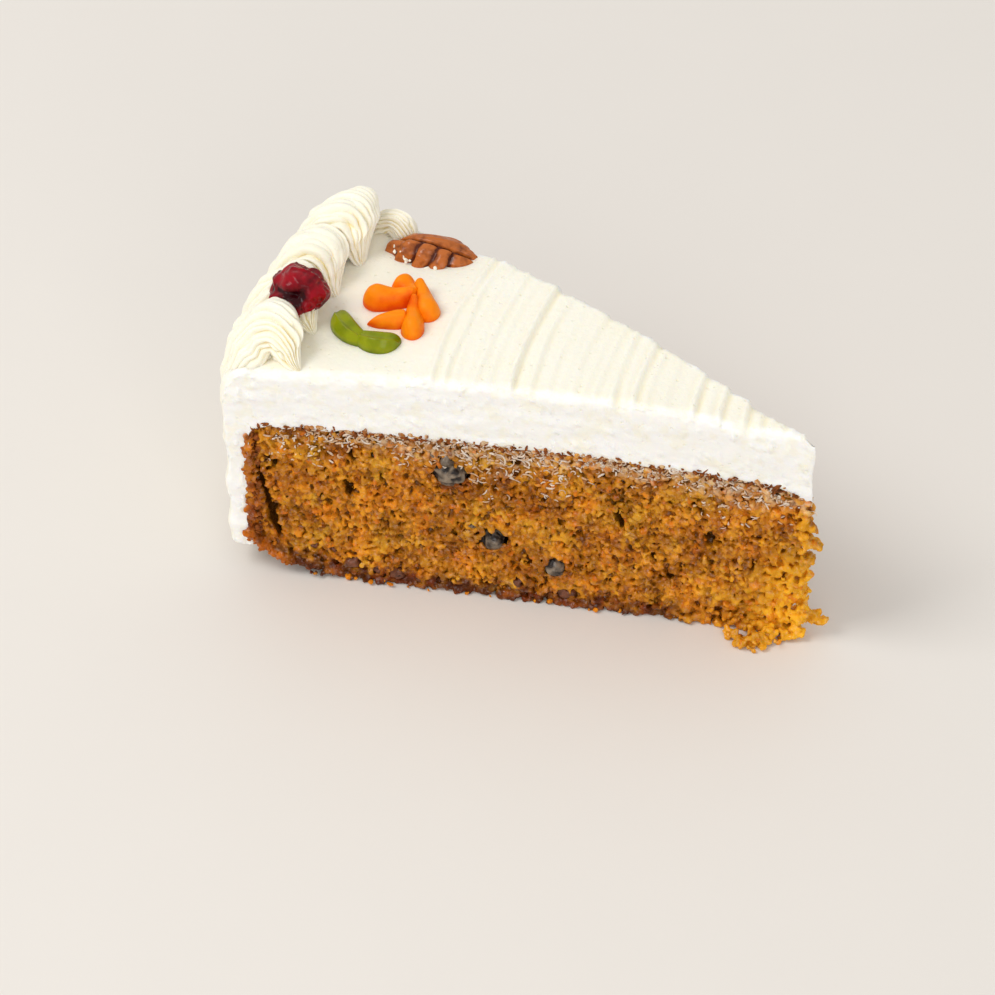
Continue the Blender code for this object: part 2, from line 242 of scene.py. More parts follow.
def merge_and_turn_out(piece):
    """Weld the piece's seams and poles, then turn its faces outwards."""
    choose(piece)
    bpy.ops.object.mode_set(mode="EDIT")
    bpy.ops.mesh.select_all(action="SELECT")
    bpy.ops.mesh.remove_doubles(threshold=WELD)
    bpy.ops.mesh.normals_make_consistent(inside=False)
    bpy.ops.object.mode_set(mode="OBJECT")


def draped_grid(name, rows, columns, shape):
    """A grid of faces laid over a closed surface, welded where its edges meet.

    shape(u, v) gives points in millimetres for u from 0 to 1 along the piece and v around it.
    """
    piece = added(
        bpy.ops.mesh.primitive_grid_add, name, x_subdivisions=columns, y_subdivisions=rows, size=1
    )
    flat = coordinates(piece.data)
    u = np.round((flat[:, 1] + 0.5) * rows) / rows
    v = np.round((flat[:, 0] + 0.5) * columns) / columns
    set_coordinates(piece.data, shape(u, v))
    merge_and_turn_out(piece)
    return piece


def hollows(mesh, rounds):
    """How hollow a mesh in millimetres is at each vertex, from 0 to 1, blurred over its neighbours."""
    points = coordinates(mesh)
    ends = np.zeros(2 * len(mesh.edges), np.int64)
    mesh.edges.foreach_get("vertices", ends)
    first, second = ends.reshape(-1, 2).T
    outward = np.zeros(3 * len(points), np.float32)
    mesh.vertex_normals.foreach_get("vector", outward)
    outward = outward.reshape(-1, 3)
    here, there = np.concatenate((first, second)), np.concatenate((second, first))
    count = np.maximum(np.bincount(here, minlength=len(points)), 1)
    step = points[there] - points[here]
    rise = np.bincount(here, np.sum(step * outward[here], axis=1), len(points))
    reach = np.bincount(here, np.sum(step**2, axis=1), len(points))
    bend = 2 * rise / np.maximum(reach, 1e-6)
    for _ in range(rounds):
        bend = 0.4 * bend + 0.6 * np.bincount(here, bend[there], len(points)) / count
    return smooth(bend)


def point_attribute(mesh, name, values):
    """Give each vertex a number that a material can read."""
    attribute = mesh.attributes.new(name, "FLOAT", "POINT")
    attribute.data.foreach_set("value", np.asarray(values, np.float32))


def roughen(piece, name, size, strength):
    """Displace a piece along its normals by a noise of a given size, both in millimetres."""
    texture = bpy.data.textures.new(name, "CLOUDS")
    texture.noise_scale = size
    choose(piece)
    push = piece.modifiers.new(name, "DISPLACE")
    push.texture = texture
    push.texture_coords = "LOCAL"
    push.strength = strength
    bpy.ops.object.modifier_apply(modifier=push.name)


def finished(piece, slot, material, *nodes):
    """Scale a piece to metres in its mesh, give it its material and tie it to the frame."""
    piece.data.transform(piece.matrix_basis)
    piece.matrix_basis = Matrix.Identity(4)
    piece.data.transform(Matrix.Scale(MM, 4))
    piece.data.materials.clear()
    piece.data.materials.append(material)
    choose(piece)
    bpy.ops.object.shade_smooth()
    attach(piece, "root")
    if nodes:
        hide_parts(*nodes)
    return piece


def joined(name, points, faces):
    """A piece from gathered points and faces."""
    mesh = bpy.data.meshes.new(name)
    mesh.from_pydata(points, [], faces)
    mesh.update()
    piece = bpy.data.objects.new(name, mesh)
    bpy.context.collection.objects.link(piece)
    return piece


# ---------------------------------------------------------------- materials

def add(tree, kind, inputs=None, **settings):
    """Add a node with its settings; an input is a value or the socket that feeds it."""
    made = tree.nodes.new(kind)
    for key, value in settings.items():
        setattr(made, key, value)
    for key, value in (inputs or {}).items():
        if isinstance(value, bpy.types.NodeSocket):
            tree.links.new(value, made.inputs[key])
        else:
            made.inputs[key].default_value = value
    return made


def new_material(name, **settings):
    """A material with its Principled shader's constant settings; returns it, its tree and shader."""
    material = bpy.data.materials.new(name)
    material.use_nodes = True
    tree = material.node_tree
    shader = tree.nodes["Principled BSDF"]
    for key, value in settings.items():
        shader.inputs[key.replace("_", " ")].default_value = value
    return material, tree, shader


def feed(tree, shader, **sockets):
    """Link sockets to the shader's inputs."""
    for key, socket in sockets.items():
        tree.links.new(socket, shader.inputs[key.replace("_", " ")])


def ramp_of(node, stops):
    """Set a colour ramp's stops, as (position, colour)."""
    elements = node.color_ramp.elements
    while len(elements) < len(stops):
        elements.new(0.5)
    for element, (position, colour) in zip(elements, stops):
        element.position = position
        element.color = colour
    return node.outputs["Color"]


def crumb_material(chosen):
    """Moist oil sponge, torn by the knife: tones change from crumb to crumb, painted shade darkens the pits
    and a painted glow lights the tip.
    """
    material, tree, shader = new_material(
        "moist_carrot_sponge",
        IOR=1.45,
        Subsurface_Weight=0.25,
        Subsurface_Radius=(1.0, 0.45, 0.10),
        Subsurface_Scale=0.9 * MM,
    )
    place = add(tree, "ShaderNodeTexCoord").outputs["Object"]
    fleck, grit, drops = (
        add(
            tree,
            "ShaderNodeTexNoise",
            {"Vector": place, "Scale": 1 / (size * MM), "Detail": detail, "Roughness": rough},
        ).outputs["Fac"]
        for size, detail, rough in ((0.9, 4.0, 0.6), (0.45, 3.0, 0.5), (0.8, 2.0, 0.5))
    )
    tone, hue = (
        add(tree, "ShaderNodeAttribute", attribute_name=name).outputs["Fac"] for name in ("tone", "hue")
    )
    shade = add(tree, "ShaderNodeMath", {0: fleck, 1: 0.5, 2: -0.25}, operation="MULTIPLY_ADD")
    moved = add(tree, "ShaderNodeMath", {0: tone, 1: shade.outputs[0]}, operation="ADD")
    olive, brown = (
        ramp_of(
            add(tree, "ShaderNodeValToRGB", {"Fac": moved.outputs[0]}),
            [(0.05, chosen.crumb_dark), (0.45, getattr(chosen, middle)), (0.95, getattr(chosen, light))],
        )
        for middle, light in (("crumb_olive", "crumb_yellow"), ("crumb_brown", "crumb_orange"))
    )
    body = add(tree, "ShaderNodeMix", {"Factor": hue, 6: olive, 7: brown}, data_type="RGBA")
    # Each of these covers the ones before it.
    # The tip's layer is a painted glow of light through thin crumb, and the pores' layer is painted shade.
    for name, colour_name in (
        ("gold", "painted_glow_colour"), ("shred", "carrot"), ("crust", "crust"), ("smear", "smear"), ("pit", "pit"),
    ):
        factor = add(tree, "ShaderNodeAttribute", attribute_name=name).outputs["Fac"]
        layers = {"Factor": factor, 6: body.outputs[2], 7: getattr(chosen, colour_name)}
        body = add(tree, "ShaderNodeMix", layers, data_type="RGBA")
    bump = add(tree, "ShaderNodeBump", {"Height": grit, "Strength": 0.5, "Distance": 0.25 * MM})
    wet, shine = (
        add(
            tree,
            "ShaderNodeMapRange",
            {"Value": value, "From Min": start, "From Max": end, "To Min": low, "To Max": high},
        ).outputs["Result"]
        for value, start, end, low, high in ((grit, 0.35, 0.65, 0.13, 0.55), (drops, 0.52, 0.62, 0.16, 1.0))
    )
    feed(
        tree,
        shader,
        Base_Color=body.outputs[2],
        Normal=bump.outputs["Normal"],
        Roughness=wet,
        Specular_IOR_Level=shine,
    )
    return material


def cream_material(name, cream, crease, pore_size, pore_depth):
    """Cream cheese frosting: soft, slightly see-through fat and sugar, painted warmer as shade where it is
    deep and in its pores.
    """
    material, tree, shader = new_material(
        name,
        Roughness=0.5,
        IOR=1.45,
        Subsurface_Weight=0.35,
        Subsurface_Radius=(1.0, 0.85, 0.6),
        Subsurface_Scale=1.6 * MM,
    )
    place = add(tree, "ShaderNodeTexCoord").outputs["Object"]
    # Painted shade: how far each point is tinted towards the deep colour, as the piece sets it.
    depth = add(tree, "ShaderNodeAttribute", attribute_name="crease").outputs["Fac"]
    patches, mottle = (
        add(
            tree, "ShaderNodeTexNoise", {"Vector": place, "Scale": 1 / (size * MM), "Detail": detail}
        ).outputs["Fac"]
        for size, detail in ((9.0, 3.0), (1.2, 4.0))
    )
    pores = add(
        tree, "ShaderNodeTexVoronoi", {"Vector": place, "Scale": 1 / (pore_size * MM), "Randomness": 1.0}
    )
    dimple = add(
        tree,
        "ShaderNodeMapRange",
        {"Value": pores.outputs["Distance"], "From Min": 0.04, "From Max": 0.2},
        interpolation_type="SMOOTHSTEP",
    ).outputs["Result"]
    # Painted shade: the hollows of the pores are tinted towards the deep colour.
    speck = add(tree, "ShaderNodeMath", {0: dimple, 1: -0.12, 2: 0.12}, operation="MULTIPLY_ADD")
    warm = add(tree, "ShaderNodeMath", {0: patches, 1: 0.18, 2: depth}, operation="MULTIPLY_ADD")
    share = add(
        tree, "ShaderNodeMath", {0: speck.outputs[0], 1: warm.outputs[0]}, operation="ADD", use_clamp=True
    )
    mixed = add(tree, "ShaderNodeMix", {"Factor": share.outputs[0], 6: cream, 7: crease}, data_type="RGBA")
    height = add(tree, "ShaderNodeMath", {0: dimple, 1: 0.8, 2: mottle}, operation="MULTIPLY_ADD")
    bump = add(
        tree, "ShaderNodeBump", {"Height": height.outputs[0], "Strength": 0.5, "Distance": pore_depth * MM}
    )
    feed(tree, shader, Base_Color=mixed.outputs[2], Normal=bump.outputs["Normal"])
    return material


# Skins: (size of the patches, roughness, coat, share of the light from under the skin, depth of
# the bump), sizes in millimetres.
SKINS = {
    # Dark wine red, wet looking on its folds.
    "puckered_dried_berry_skin": (3.0, 0.22, 0.10, 0.25, 0.25),
    # Warm brown ridges with an oily gleam over darker grooves, with painted shade in their hollows.
    "oily_pecan_skin": (1.8, 0.34, 0.35, 0.05, 0.15),
    # Bright and even, matt, with painted shade where the petals meet and low down, and painted light on
    # their tops.
    "pressed_orange_sugar_paste": (5.0, 0.40, 0.0, 0.4, 0.05),
    # Bright and even, with a soft gleam.
    "pressed_green_sugar_paste": (4.0, 0.26, 0.22, 0.25, 0.05),
    # Grey and near black, wet from the crumb's oil.
    "soaked_walnut": (1.4, 0.35, 0.2, 0.05, 0.3),
    "soaked_walnut_bits": (1.3, 0.32, 0.3, 0.1, 0.3),
    # Red brown and wrinkled, wet.
    "soaked_raisin_bits": (1.3, 0.32, 0.3, 0.1, 0.3),
    # Dark and dry.
    "baked_crust_chips": (0.8, 0.45, 0.0, 0.15, 0.15),
    # As golden as the crumb they fell from.
    "loose_carrot_crumb": (1.0, 0.45, 0.0, 0.25, 0.2),
}


def skin_material(finish, deep, light, ending=""):
    """Food skin with two tones in soft patches and a fine bump."""
    pattern_size, roughness, coat, subsurface, bump_depth = SKINS[finish]
    material, tree, shader = new_material(
        finish + ending,
        Roughness=roughness,
        IOR=1.45,
        Specular_IOR_Level=0.14,
        Coat_Weight=coat,
        Coat_Roughness=0.12,
        Subsurface_Weight=subsurface,
        Subsurface_Radius=(1.0, 0.35, 0.15),
        Subsurface_Scale=1.0 * MM,
    )
    place = add(tree, "ShaderNodeTexCoord").outputs["Object"]
    crease = add(tree, "ShaderNodeAttribute", attribute_name="crease").outputs["Fac"]
    patches = add(
        tree, "ShaderNodeTexNoise", {"Vector": place, "Scale": 1 / (pattern_size * MM), "Detail": 4.0}
    ).outputs["Fac"]
    # Above 0 the attribute darkens towards the deep colour, below 0 it lightens; most pieces fill it with
    # painted shade and painted light.
    share = add(tree, "ShaderNodeMath", {0: patches, 1: crease}, operation="SUBTRACT")
    body = ramp_of(
        add(tree, "ShaderNodeValToRGB", {"Fac": share.outputs[0]}), [(0.25, deep), (0.65, light)]
    )
    bump = add(
        tree, "ShaderNodeBump", {"Height": patches, "Strength": 0.6, "Distance": bump_depth * MM}
    )
    feed(tree, shader, Base_Color=body, Normal=bump.outputs["Normal"])
    return material


# ---------------------------------------------------------------- sizes and colours

def length(name, description, millimetres):
    """A length that the panel shows."""
    return bpy.props.FloatProperty(
        name=name, description=description, default=millimetres * MM, subtype="DISTANCE", precision=5
    )


def count(name, description, default):
    """A whole number that the panel shows."""
    return bpy.props.IntProperty(name=name, description=description, default=default, min=1)


def colour(name, description, hex_colour):
    """A colour that the panel shows."""
    return bpy.props.FloatVectorProperty(
        name=name, description=description, subtype="COLOR", size=4, default=linear(hex_colour)
    )


class CakeSpongeSettings(bpy.types.PropertyGroup):
    """Sizes and colours of the sponge."""

    voxel: length("Crumb detail", "Size of the smallest bump in the crumb", 0.36)
    grain: length("Grain spacing", "Distance from one crumb grain to the next", 1.0)
    slab: length("Crumb depth", "How far the torn crumb goes into the slice", 4.5)
    crumb_dark: colour("Crumb, darkest", "Darkest grains", "#6E3804")
    crumb_brown: colour("Crumb, brown", "Brown grains", "#A65C0A")
    crumb_orange: colour("Crumb, orange", "Light grains full of carrot", "#E68C18")
    crumb_olive: colour("Crumb, olive", "Olive brown grains", "#A86A0A")
    crumb_yellow: colour("Crumb, yellow", "Light grains full of oil", "#DCA22A")
    carrot: colour("Carrot", "Shreds of carrot", "#D9730E")
    # Painted glow: the yellow of light shining through the thin loose crumb at the tip.
    painted_glow_colour: colour("Tip", "Loose yellow crumb at the tip", "#F9B526")
    # Also the painted shade round the nut pieces.
    crust: colour("Crust", "Baked skin of the sponge", "#74300A")
    crust_light: colour("Crust, light", "Paler chips of the crust", "#9A5420")
    smear: colour("Smear", "Frosting that the knife dragged over the crumb", "#EBD2AC")
    # Painted shade in the pores; also dark patches of crust along the base, and the dark side of the crust
    # chips.
    pit: colour("Pits", "Deep pores", "#3A1B06")


class CakeFrostingSettings(bpy.types.PropertyGroup):
    """Sizes and colours of the frosting and its swirls."""

    edge: length("Edge", "Round edge between the top and a cut", 2.3)
    stations: count("Steps along", "Steps from the tip to the foot of the wall", 330)
    across: count("Steps across", "Steps from cut to cut", 72)
    through: count("Steps through", "Steps through the thickness", 34)
    cream: colour("Cream", "Frosting", "#FCF7E8")
    # Painted shade: the warm colour that creases, hollows and pores are tinted with.
    crease: colour("Cream, deep", "Frosting in its creases", "#F3E2A8")
    smear: colour("Smear", "Frosting that the knife dragged over the crumb", "#F4E6D4")
    oiled: colour("Smear, oiled", "Smear that has drunk the crumb's oil", "#C98E50")
    cut_cream: colour("Cut cream", "Frosting where the knife cut it", "#FCFBF9")


class CakeToppingSettings(bpy.types.PropertyGroup):
    """Colours of the toppings and the nuts."""

    # Painted shade: the colour of the berry's folds and calyx hollow.
    berry_deep: colour("Berry, deep", "Folds of the dried berry", "#30050A")
    berry_light: colour("Berry, light", "Thin skin of the dried berry", "#98091A")
    # Partly painted shade: the grooves are darker, and the hollows get painted shade.
    pecan_deep: colour("Pecan, deep", "Grooves of the pecan", "#54200C")
    pecan_light: colour("Pecan, light", "Ridges of the pecan", "#B8652A")
    # Painted shade where the petals meet and low down on them.
    orange_deep: colour("Orange sugar, deep", "Where the petals press together", "#E45600")
    orange_light: colour("Orange sugar", "Petals", "#FF8C0A")
    green_deep: colour("Green sugar, deep", "Shaded leaf", "#5E6C00")
    green_light: colour("Green sugar", "Leaf", "#8C9400")
    nut_deep: colour("Nut, deep", "Skin of the nut pieces", "#2A2320")
    nut_light: colour("Nut, light", "Bared nut", "#8A7A68")
    raisin_deep: colour("Raisin, deep", "Folds of the raisins", "#35190F")
    raisin_light: colour("Raisin, light", "Skin of the raisins", "#7E4B33")


class CakeStageSettings(bpy.types.PropertyGroup):
    """Floor, light and camera."""

    floor: colour("Floor", "Matt floor", "#E6E0D8")
    key: bpy.props.FloatProperty(
        name="Key", description="Power of the main light", default=9.6, unit="POWER"
    )
    fill: bpy.props.FloatProperty(
        name="Fill", description="Power of the front light", default=6.2, unit="POWER"
    )
    sky: bpy.props.FloatProperty(name="Sky", description="Strength of the light all round", default=0.68)
    focal: bpy.props.FloatProperty(
        name="Focal length", description="Lens of the camera", default=200.0, subtype="DISTANCE_CAMERA"
    )


def settings(name):
    """The panel's settings of a group."""
    return getattr(bpy.context.scene, name)


# ---------------------------------------------------------------- sponge

# The box of voxels: how far it reaches past the rim and the tip, to the front and the back of
# the slice's middle, and up. Where the crumb is even, its faces grow by the adaptivity.
RIM_ROOM, TIP_ROOM, FRONT_ROOM, BACK_ROOM, CRUMB_HEIGHT = 2, 6, 38, 37, 49
ADAPTIVITY = 0.02

# The core between the two slabs of crumb: how far it reaches into them, and its grid.
CORE_LAP = 0.5
CORE_ROWS, CORE_STEPS_UP, CORE_STEPS_ACROSS = 120, 20, 40

# Grains lie on a surface this far under the cuts.
INSET = 1.3

# Grains cling together in lumps.
LUMP_SPACING = 3.0

# A pore is a short wandering run of hollows.
PORE_SPACING = 2.6
PORE_STEP = 0.55

# Layers of grains, as (depth under the cut, half size).
GRAIN_LAYERS = ((0.46, 0.56), (1.05, 0.70))

# Small grains along the lower outer edge of the cuts, and up beside the frosting's wall.
HEM_GRAINS = 260
WALL_GRAINS = 190

# Fissures in the front cut, as (radius, height) of both ends and half the width.
FISSURES = (
    ((122.6, 30.0), (119.8, 17.5), 0.85), ((120.2, 20.5), (118.2, 10.5), 1.15),
    ((120.8, 33.4), (118.4, 31.2), 0.85), ((103.2, 28.4), (101.2, 26.0), 0.95),
    ((103.0, 26.6), (102.2, 25.2), 0.70), ((102.4, 37.6), (100.8, 35.6), 0.70),
    ((43.2, 29.6), (41.8, 26.0), 1.00), ((42.6, 31.2), (41.9, 29.8), 0.60),
    ((24.0, 25.8), (21.4, 25.0), 0.80), ((15.0, 27.6), (12.6, 27.8), 0.70),
    ((33.6, 11.8), (30.4, 12.6), 0.75), ((36.4, 18.4), (33.8, 16.6), 0.60),
    ((26.6, 35.0), (24.6, 33.0), 0.70), ((95.4, 31.5), (94.4, 30.6), 0.55),
    ((108.6, 31.8), (107.6, 31.0), 0.60),
)

# The frame's nodes for the nut pieces that the front cut bared.
NUT_NODES = ("nut_1", "nut_2", "nut_3")

# Heaps of loose crumb that still hang on: (back from the tip, across, height, spread, grains).
HEAPS = (
    (10.6, -7.2, 1.5, 2.0, 60), (12.6, -9.0, 0.8, 1.3, 34), (15.4, -7.4, 1.0, 1.5, 30),
    (7.4, -4.8, 1.8, 1.8, 34), (8.2, -7.4, 0.7, 1.2, 16), (-0.4, 1.6, 4.6, 1.5, 34),
    (-2.2, 1.8, 4.2, 1.0, 18), (1.5, 0.6, 6.0, 1.6, 26), (2.4, -1.8, 1.6, 1.5, 24),
    (5.0, -2.6, 0.9, 1.5, 22), (0.6, 0.2, 23.0, 1.0, 22), (-0.3, 0.0, 28.6, 1.1, 26),
    (-1.2, 0.0, 28.0, 0.7, 10), (2.6, -0.3, 13.0, 1.3, 18), (0.6, -0.2, 33.0, 1.2, 20),
)

# Bits of raisin and walnut that the front cut bared, as (radius, height, half size).
RAISINS = (
    (101.6, 5.0, 2.3), (91.9, 2.6, 2.2), (96.4, 3.6, 1.4), (54.6, 3.2, 2.0), (64.6, 5.4, 1.5),
    (87.2, 2.2, 1.1), (106.0, 8.4, 1.2), (110.4, 8.8, 1.1),
)
WALNUTS = ((80.4, 39.0, 1.9), (75.0, 20.6, 1.3), (83.6, 40.6, 0.9))

# Bites that broke off the tip, as (back from the tip, height, length, half height).
BITES = (
    (-0.6, 25.6, 3.8, 1.0), (-0.6, 20.0, 3.0, 1.6), (-0.8, 14.6, 2.6, 2.6), (-0.8, 11.0, 3.6, 1.6),
    (-0.4, 2.2, 3.4, 2.4),
)

# The torn crumb in four pieces: (name, side of the cut, from this radius, to this radius).
CRUMB_PIECES = (
    ("crumb_front_tip", -1, None, 60.0),
    ("crumb_front_rim", -1, 60.0, None),
    ("crumb_back_tip", 1, None, 64.0),
    ("crumb_back_rim", 1, 64.0, None),
)


class Crumb:
    """A box of voxels that holds the distance to the sponge's surface and the grain nearest to it."""

    def __init__(self, step):
        self.step = step
        self.xs = np.arange(TIP_X - SPONGE_RADIUS - RIM_ROOM, TIP_X + TIP_ROOM, step)
        self.ys = np.arange(TIP_Y - FRONT_ROOM, TIP_Y + BACK_ROOM, step)
        self.zs = np.arange(-2 * step, CRUMB_HEIGHT, step)
        x, y = np.meshgrid(self.xs, self.ys, indexing="ij")
        radius, front, rear = cut_depths(x, y)
        top, base = sponge_top(np.minimum(radius, SPONGE_RADIUS)), sponge_base(radius)
        lids = np.maximum(self.zs - top[..., None], base[..., None] - self.zs)
        cut = np.maximum(-front, -rear)[..., None]
        where = np.argwhere(np.broadcast_to(np.abs(cut) < 4, lids.shape))
        spots = np.stack((self.xs[where[:, 0]], self.ys[where[:, 1]], self.zs[where[:, 2]]), axis=-1)
        inset = np.full(lids.shape, INSET, np.float32)
        inset[tuple(where.T)] = INSET + 0.35 * cloud(spots, 5.0, 10) + 0.4 * cloud(spots, 2.0, 12)
        field = np.maximum(np.maximum(cut + inset, (radius - SPONGE_RADIUS)[..., None]), lids)
        self.field = field.astype(np.float32)
        self.owner = np.zeros(self.field.shape, np.int32)
        self.grains = 1

    def grain(self, centre, radii, rng):
        """Add a grain, turned at random, under a number of its own."""
        self.stamp(centre, radii, random_turn(rng), self.grains)
        self.grains += 1

    def stamp(self, centre, radii, turn, number=None):
        """Add an ellipsoid under a number, or cut it away if it has none."""
        reach = max(radii) + 2 * self.step
        lines, spans = [], []
        for axis, line in enumerate((self.xs, self.ys, self.zs)):
            first = max(int((centre[axis] - reach - line[0]) / self.step), 0)
            last = max(int((centre[axis] + reach - line[0]) / self.step) + 2, 0)
            spans.append(slice(first, last))
            lines.append(line[first:last] - centre[axis])
        x, y, z = lines[0][:, None, None], lines[1][None, :, None], lines[2][None, None, :]
        total = 0
        for row, radius in zip(turn, radii):
            total = total + ((row[0] * x + row[1] * y + row[2] * z) / radius) ** 2
        value = (np.sqrt(total) - 1) * min(radii)
        block = self.field[tuple(spans)]
        if number is None:
            np.maximum(block, -value, out=block)
            return
        closer = value < block
        block[closer] = value[closer]
        self.owner[tuple(spans)][closer] = number

    def skin(self):
        """The surface as points, faces and each point's grain."""
        grid = openvdb.FloatGrid()
        grid.copyFromArray(np.maximum(self.field, -self.zs[None, None, :].astype(np.float32)))
        points, triangles, quads = grid.convertToPolygons(0.0, ADAPTIVITY)
        index = np.clip(np.round(points).astype(int), 0, np.array(self.field.shape) - 1)
        owners = self.owner[tuple(index.T)]
        places = points * self.step + np.array((self.xs[0], self.ys[0], self.zs[0]))
        return places, quads.tolist() + triangles.tolist(), owners


def cut_depths(x, y):
    """Radius of points and how deep they lie under the front and the back cut."""
    back, across = TIP_X - x, y - TIP_Y
    radius = np.hypot(back, across)
    front = across * COS_HALF + back * SIN_HALF
    angle = back_angle(radius)
    rear = back * np.sin(angle) - across * np.cos(angle)
    return radius, front, rear


def random_turn(rng):
    """A random rotation, as three rows."""
    q = rng.normal(size=4)
    w, x, y, z = q / np.linalg.norm(q)
    return np.array((
        (1 - 2 * (y * y + z * z), 2 * (x * y - z * w), 2 * (x * z + y * w)),
        (2 * (x * y + z * w), 1 - 2 * (x * x + z * z), 2 * (y * z - x * w)),
        (2 * (x * z - y * w), 2 * (y * z + x * w), 1 - 2 * (x * x + y * y)),
    ))


def cut_points(spacing, rng):
    """Jittered (radius, height) places over one cut."""
    for radius in np.arange(1.2, SPONGE_RADIUS - 0.4, spacing):
        low, high = float(sponge_base(radius)), float(sponge_top(radius))
        for height in np.arange(low + 0.35, high, spacing):
            moved = radius + rng.uniform(-0.45, 0.45) * spacing
            raised = height + rng.uniform(-0.45, 0.45) * spacing
            if raised < float(sponge_top(min(moved + 0.4, SPONGE_RADIUS))) - 0.1:
                yield moved, raised


def under_cut(side, radius, height, depth):
    """Point at a depth under the front cut (side -1) or the back cut (side 1)."""
    angle = -HALF_ANGLE if side < 0 else float(back_angle(radius))
    back = radius * math.cos(angle) + side * depth * math.sin(angle)
    across = radius * math.sin(angle) - side * depth * math.cos(angle)
    return np.array((TIP_X - back, TIP_Y + across, height))


def looseness(radius, height):
    """How loose the crumb is: more towards the lower tip, from 0 to 1."""
    return float(smooth((34 - radius) / 26) * smooth((40 - height) / 16))


def lump_depths(places, spacing, rng):
    """How far each (radius, height) place sinks between lumps of crumb, in millimetres."""
    middles = np.array([
        (radius + rng.uniform(-0.5, 0.5) * spacing, height + rng.uniform(-0.5, 0.5) * spacing)
        for radius in np.arange(0, SPONGE_RADIUS + spacing, spacing)
        for height in np.arange(0, 48, spacing)
    ])
    sinks = []
    for part in np.array_split(np.asarray(places), 24):
        far = np.sort(np.hypot(*(part[:, None, :] - middles[None, :, :]).transpose(2, 0, 1)), axis=1)
        nearest, second = far[:, 0], far[:, 1]
        crevice = np.exp(-(((second - nearest) / (0.24 * spacing)) ** 2))
        sinks.append(0.95 * crevice - 0.35 * smooth(1 - nearest / (0.5 * spacing)))
    return np.concatenate(sinks)


def grow_grains(crumb, spacing, rng):
    """Grains of crumb over both cuts, coarser and looser towards the lower tip."""
    for side in (-1, 1):
        for layer_depth, size in GRAIN_LAYERS:
            places = list(cut_points(spacing, rng))
            sinks = lump_depths(places, LUMP_SPACING, rng)
            for (radius, height), sink in zip(places, sinks):
                loose = looseness(radius, height)
                edge = math.exp(-((height - float(sponge_base(radius))) / 1.3) ** 2)
                swell = 0.96 + 0.20 * loose + 0.25 * edge
                swell *= 1.45 if rng.random() < 0.10 else 1.0
                radii = size * swell * rng.uniform(0.6, 1.4, 3)
                depth = layer_depth + rng.normal(0, 0.2) + sink - loose * rng.uniform(-0.3, 0.8)
                depth -= edge * rng.uniform(0.0, 0.7)
                crumb.grain(under_cut(side, radius, max(height, radii.min() * 0.7), depth), radii, rng)


def heap_grains(crumb, rng):
    """Heaps of grains at the foot of the cut and beyond the tip."""
    for back, across, height, spread, grains in HEAPS:
        for _ in range(grains):
            offset = rng.normal(0, 0.5, 3) * spread
            radii = rng.uniform(0.3, 0.85, 3)
            centre = np.array(on_slice(back, across, height)) + offset
            centre[2] = max(centre[2], radii.min() * 0.8)
            crumb.grain(centre, radii, rng)


def carve(crumb, rng):
    """Pores and holes in both cuts, and pockets for the nut pieces."""
    for side in (-1, 1):
        for radius, height in cut_points(PORE_SPACING, rng):
            if rng.random() < 0.5:
                heading = rng.normal(0, 0.8)
                wide = rng.uniform(0.16, 0.42) * (1 + 0.3 * looseness(radius, height))
                for _ in range(rng.integers(2, 5)):
                    radii = (wide * rng.uniform(0.9, 1.8), 1.5, wide * rng.uniform(0.7, 1.2))
                    crumb.stamp(under_cut(side, radius, height, 0.4), radii, cut_turn(side, rng))
                    heading += rng.normal(0, 0.7)
                    radius += PORE_STEP * math.cos(heading)
                    height += PORE_STEP * math.sin(heading)
    for start, end, half_width in FISSURES:
        reach = math.dist(start, end)
        for share in np.linspace(0, 1, int(reach / 0.5) + 2):
            radius = start[0] + (end[0] - start[0]) * share + rng.normal(0, 0.25)
            height = start[1] + (end[1] - start[1]) * share + rng.normal(0, 0.2)
            size = half_width * rng.uniform(0.6, 1.1) * (0.6 + 0.4 * math.sin(math.pi * share))
            crumb.stamp(under_cut(-1, radius, height, 0.3), (size, 3.8, size), cut_turn(-1, rng))
    for back, height, reach, half_height in BITES:
        centre = np.array(on_slice(back, 0.0, height))
        crumb.stamp(centre, (reach, 4.0, half_height), np.eye(3))
    for node in NUT_NODES:
        middle, half = middle_and_half(node)
        crumb.stamp(middle, half + (0.5, 2.0, 0.4), np.eye(3))
    for radius, height, size in RAISINS + WALNUTS:
        radii = (size * 0.9, 1.7, size * 0.8)
        crumb.stamp(under_cut(-1, radius, height, 0.2), radii, cut_turn(-1, rng))


def middle_and_half(node):
    """Middle and half size of a node of the frame, in millimetres."""
    low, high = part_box(node)
    return np.array((low + high) / 2) / MM, np.array(high - low) / MM / 2


def rim_grains(crumb, rng):
    """Grains that lap over the lower and left rim of each nut piece, where the crumb holds it."""
    rims = []
    for node in NUT_NODES:
        middle, half = middle_and_half(node)
        radius = float(cut_depths(middle[0], middle[1])[0])
        rims.append((radius, middle[2], half[0], half[2], 46, (0.62, 1.95)))
    rims += [(radius, height, size, size, 24, (0.0, 2.0)) for radius, height, size in RAISINS + WALNUTS]
    for radius, height, half_width, half_height, grains, arc in rims:
        for _ in range(grains):
            a = rng.uniform(*arc) * math.pi
            reach = rng.uniform(0.80, 1.12)
            spot = under_cut(
                -1,
                radius - half_width * reach * math.cos(a),
                max(height + half_height * reach * math.sin(a), 0.3),
                rng.uniform(0.0, 0.8),
            )
            crumb.grain(spot, rng.uniform(0.3, 0.65, 3), rng)


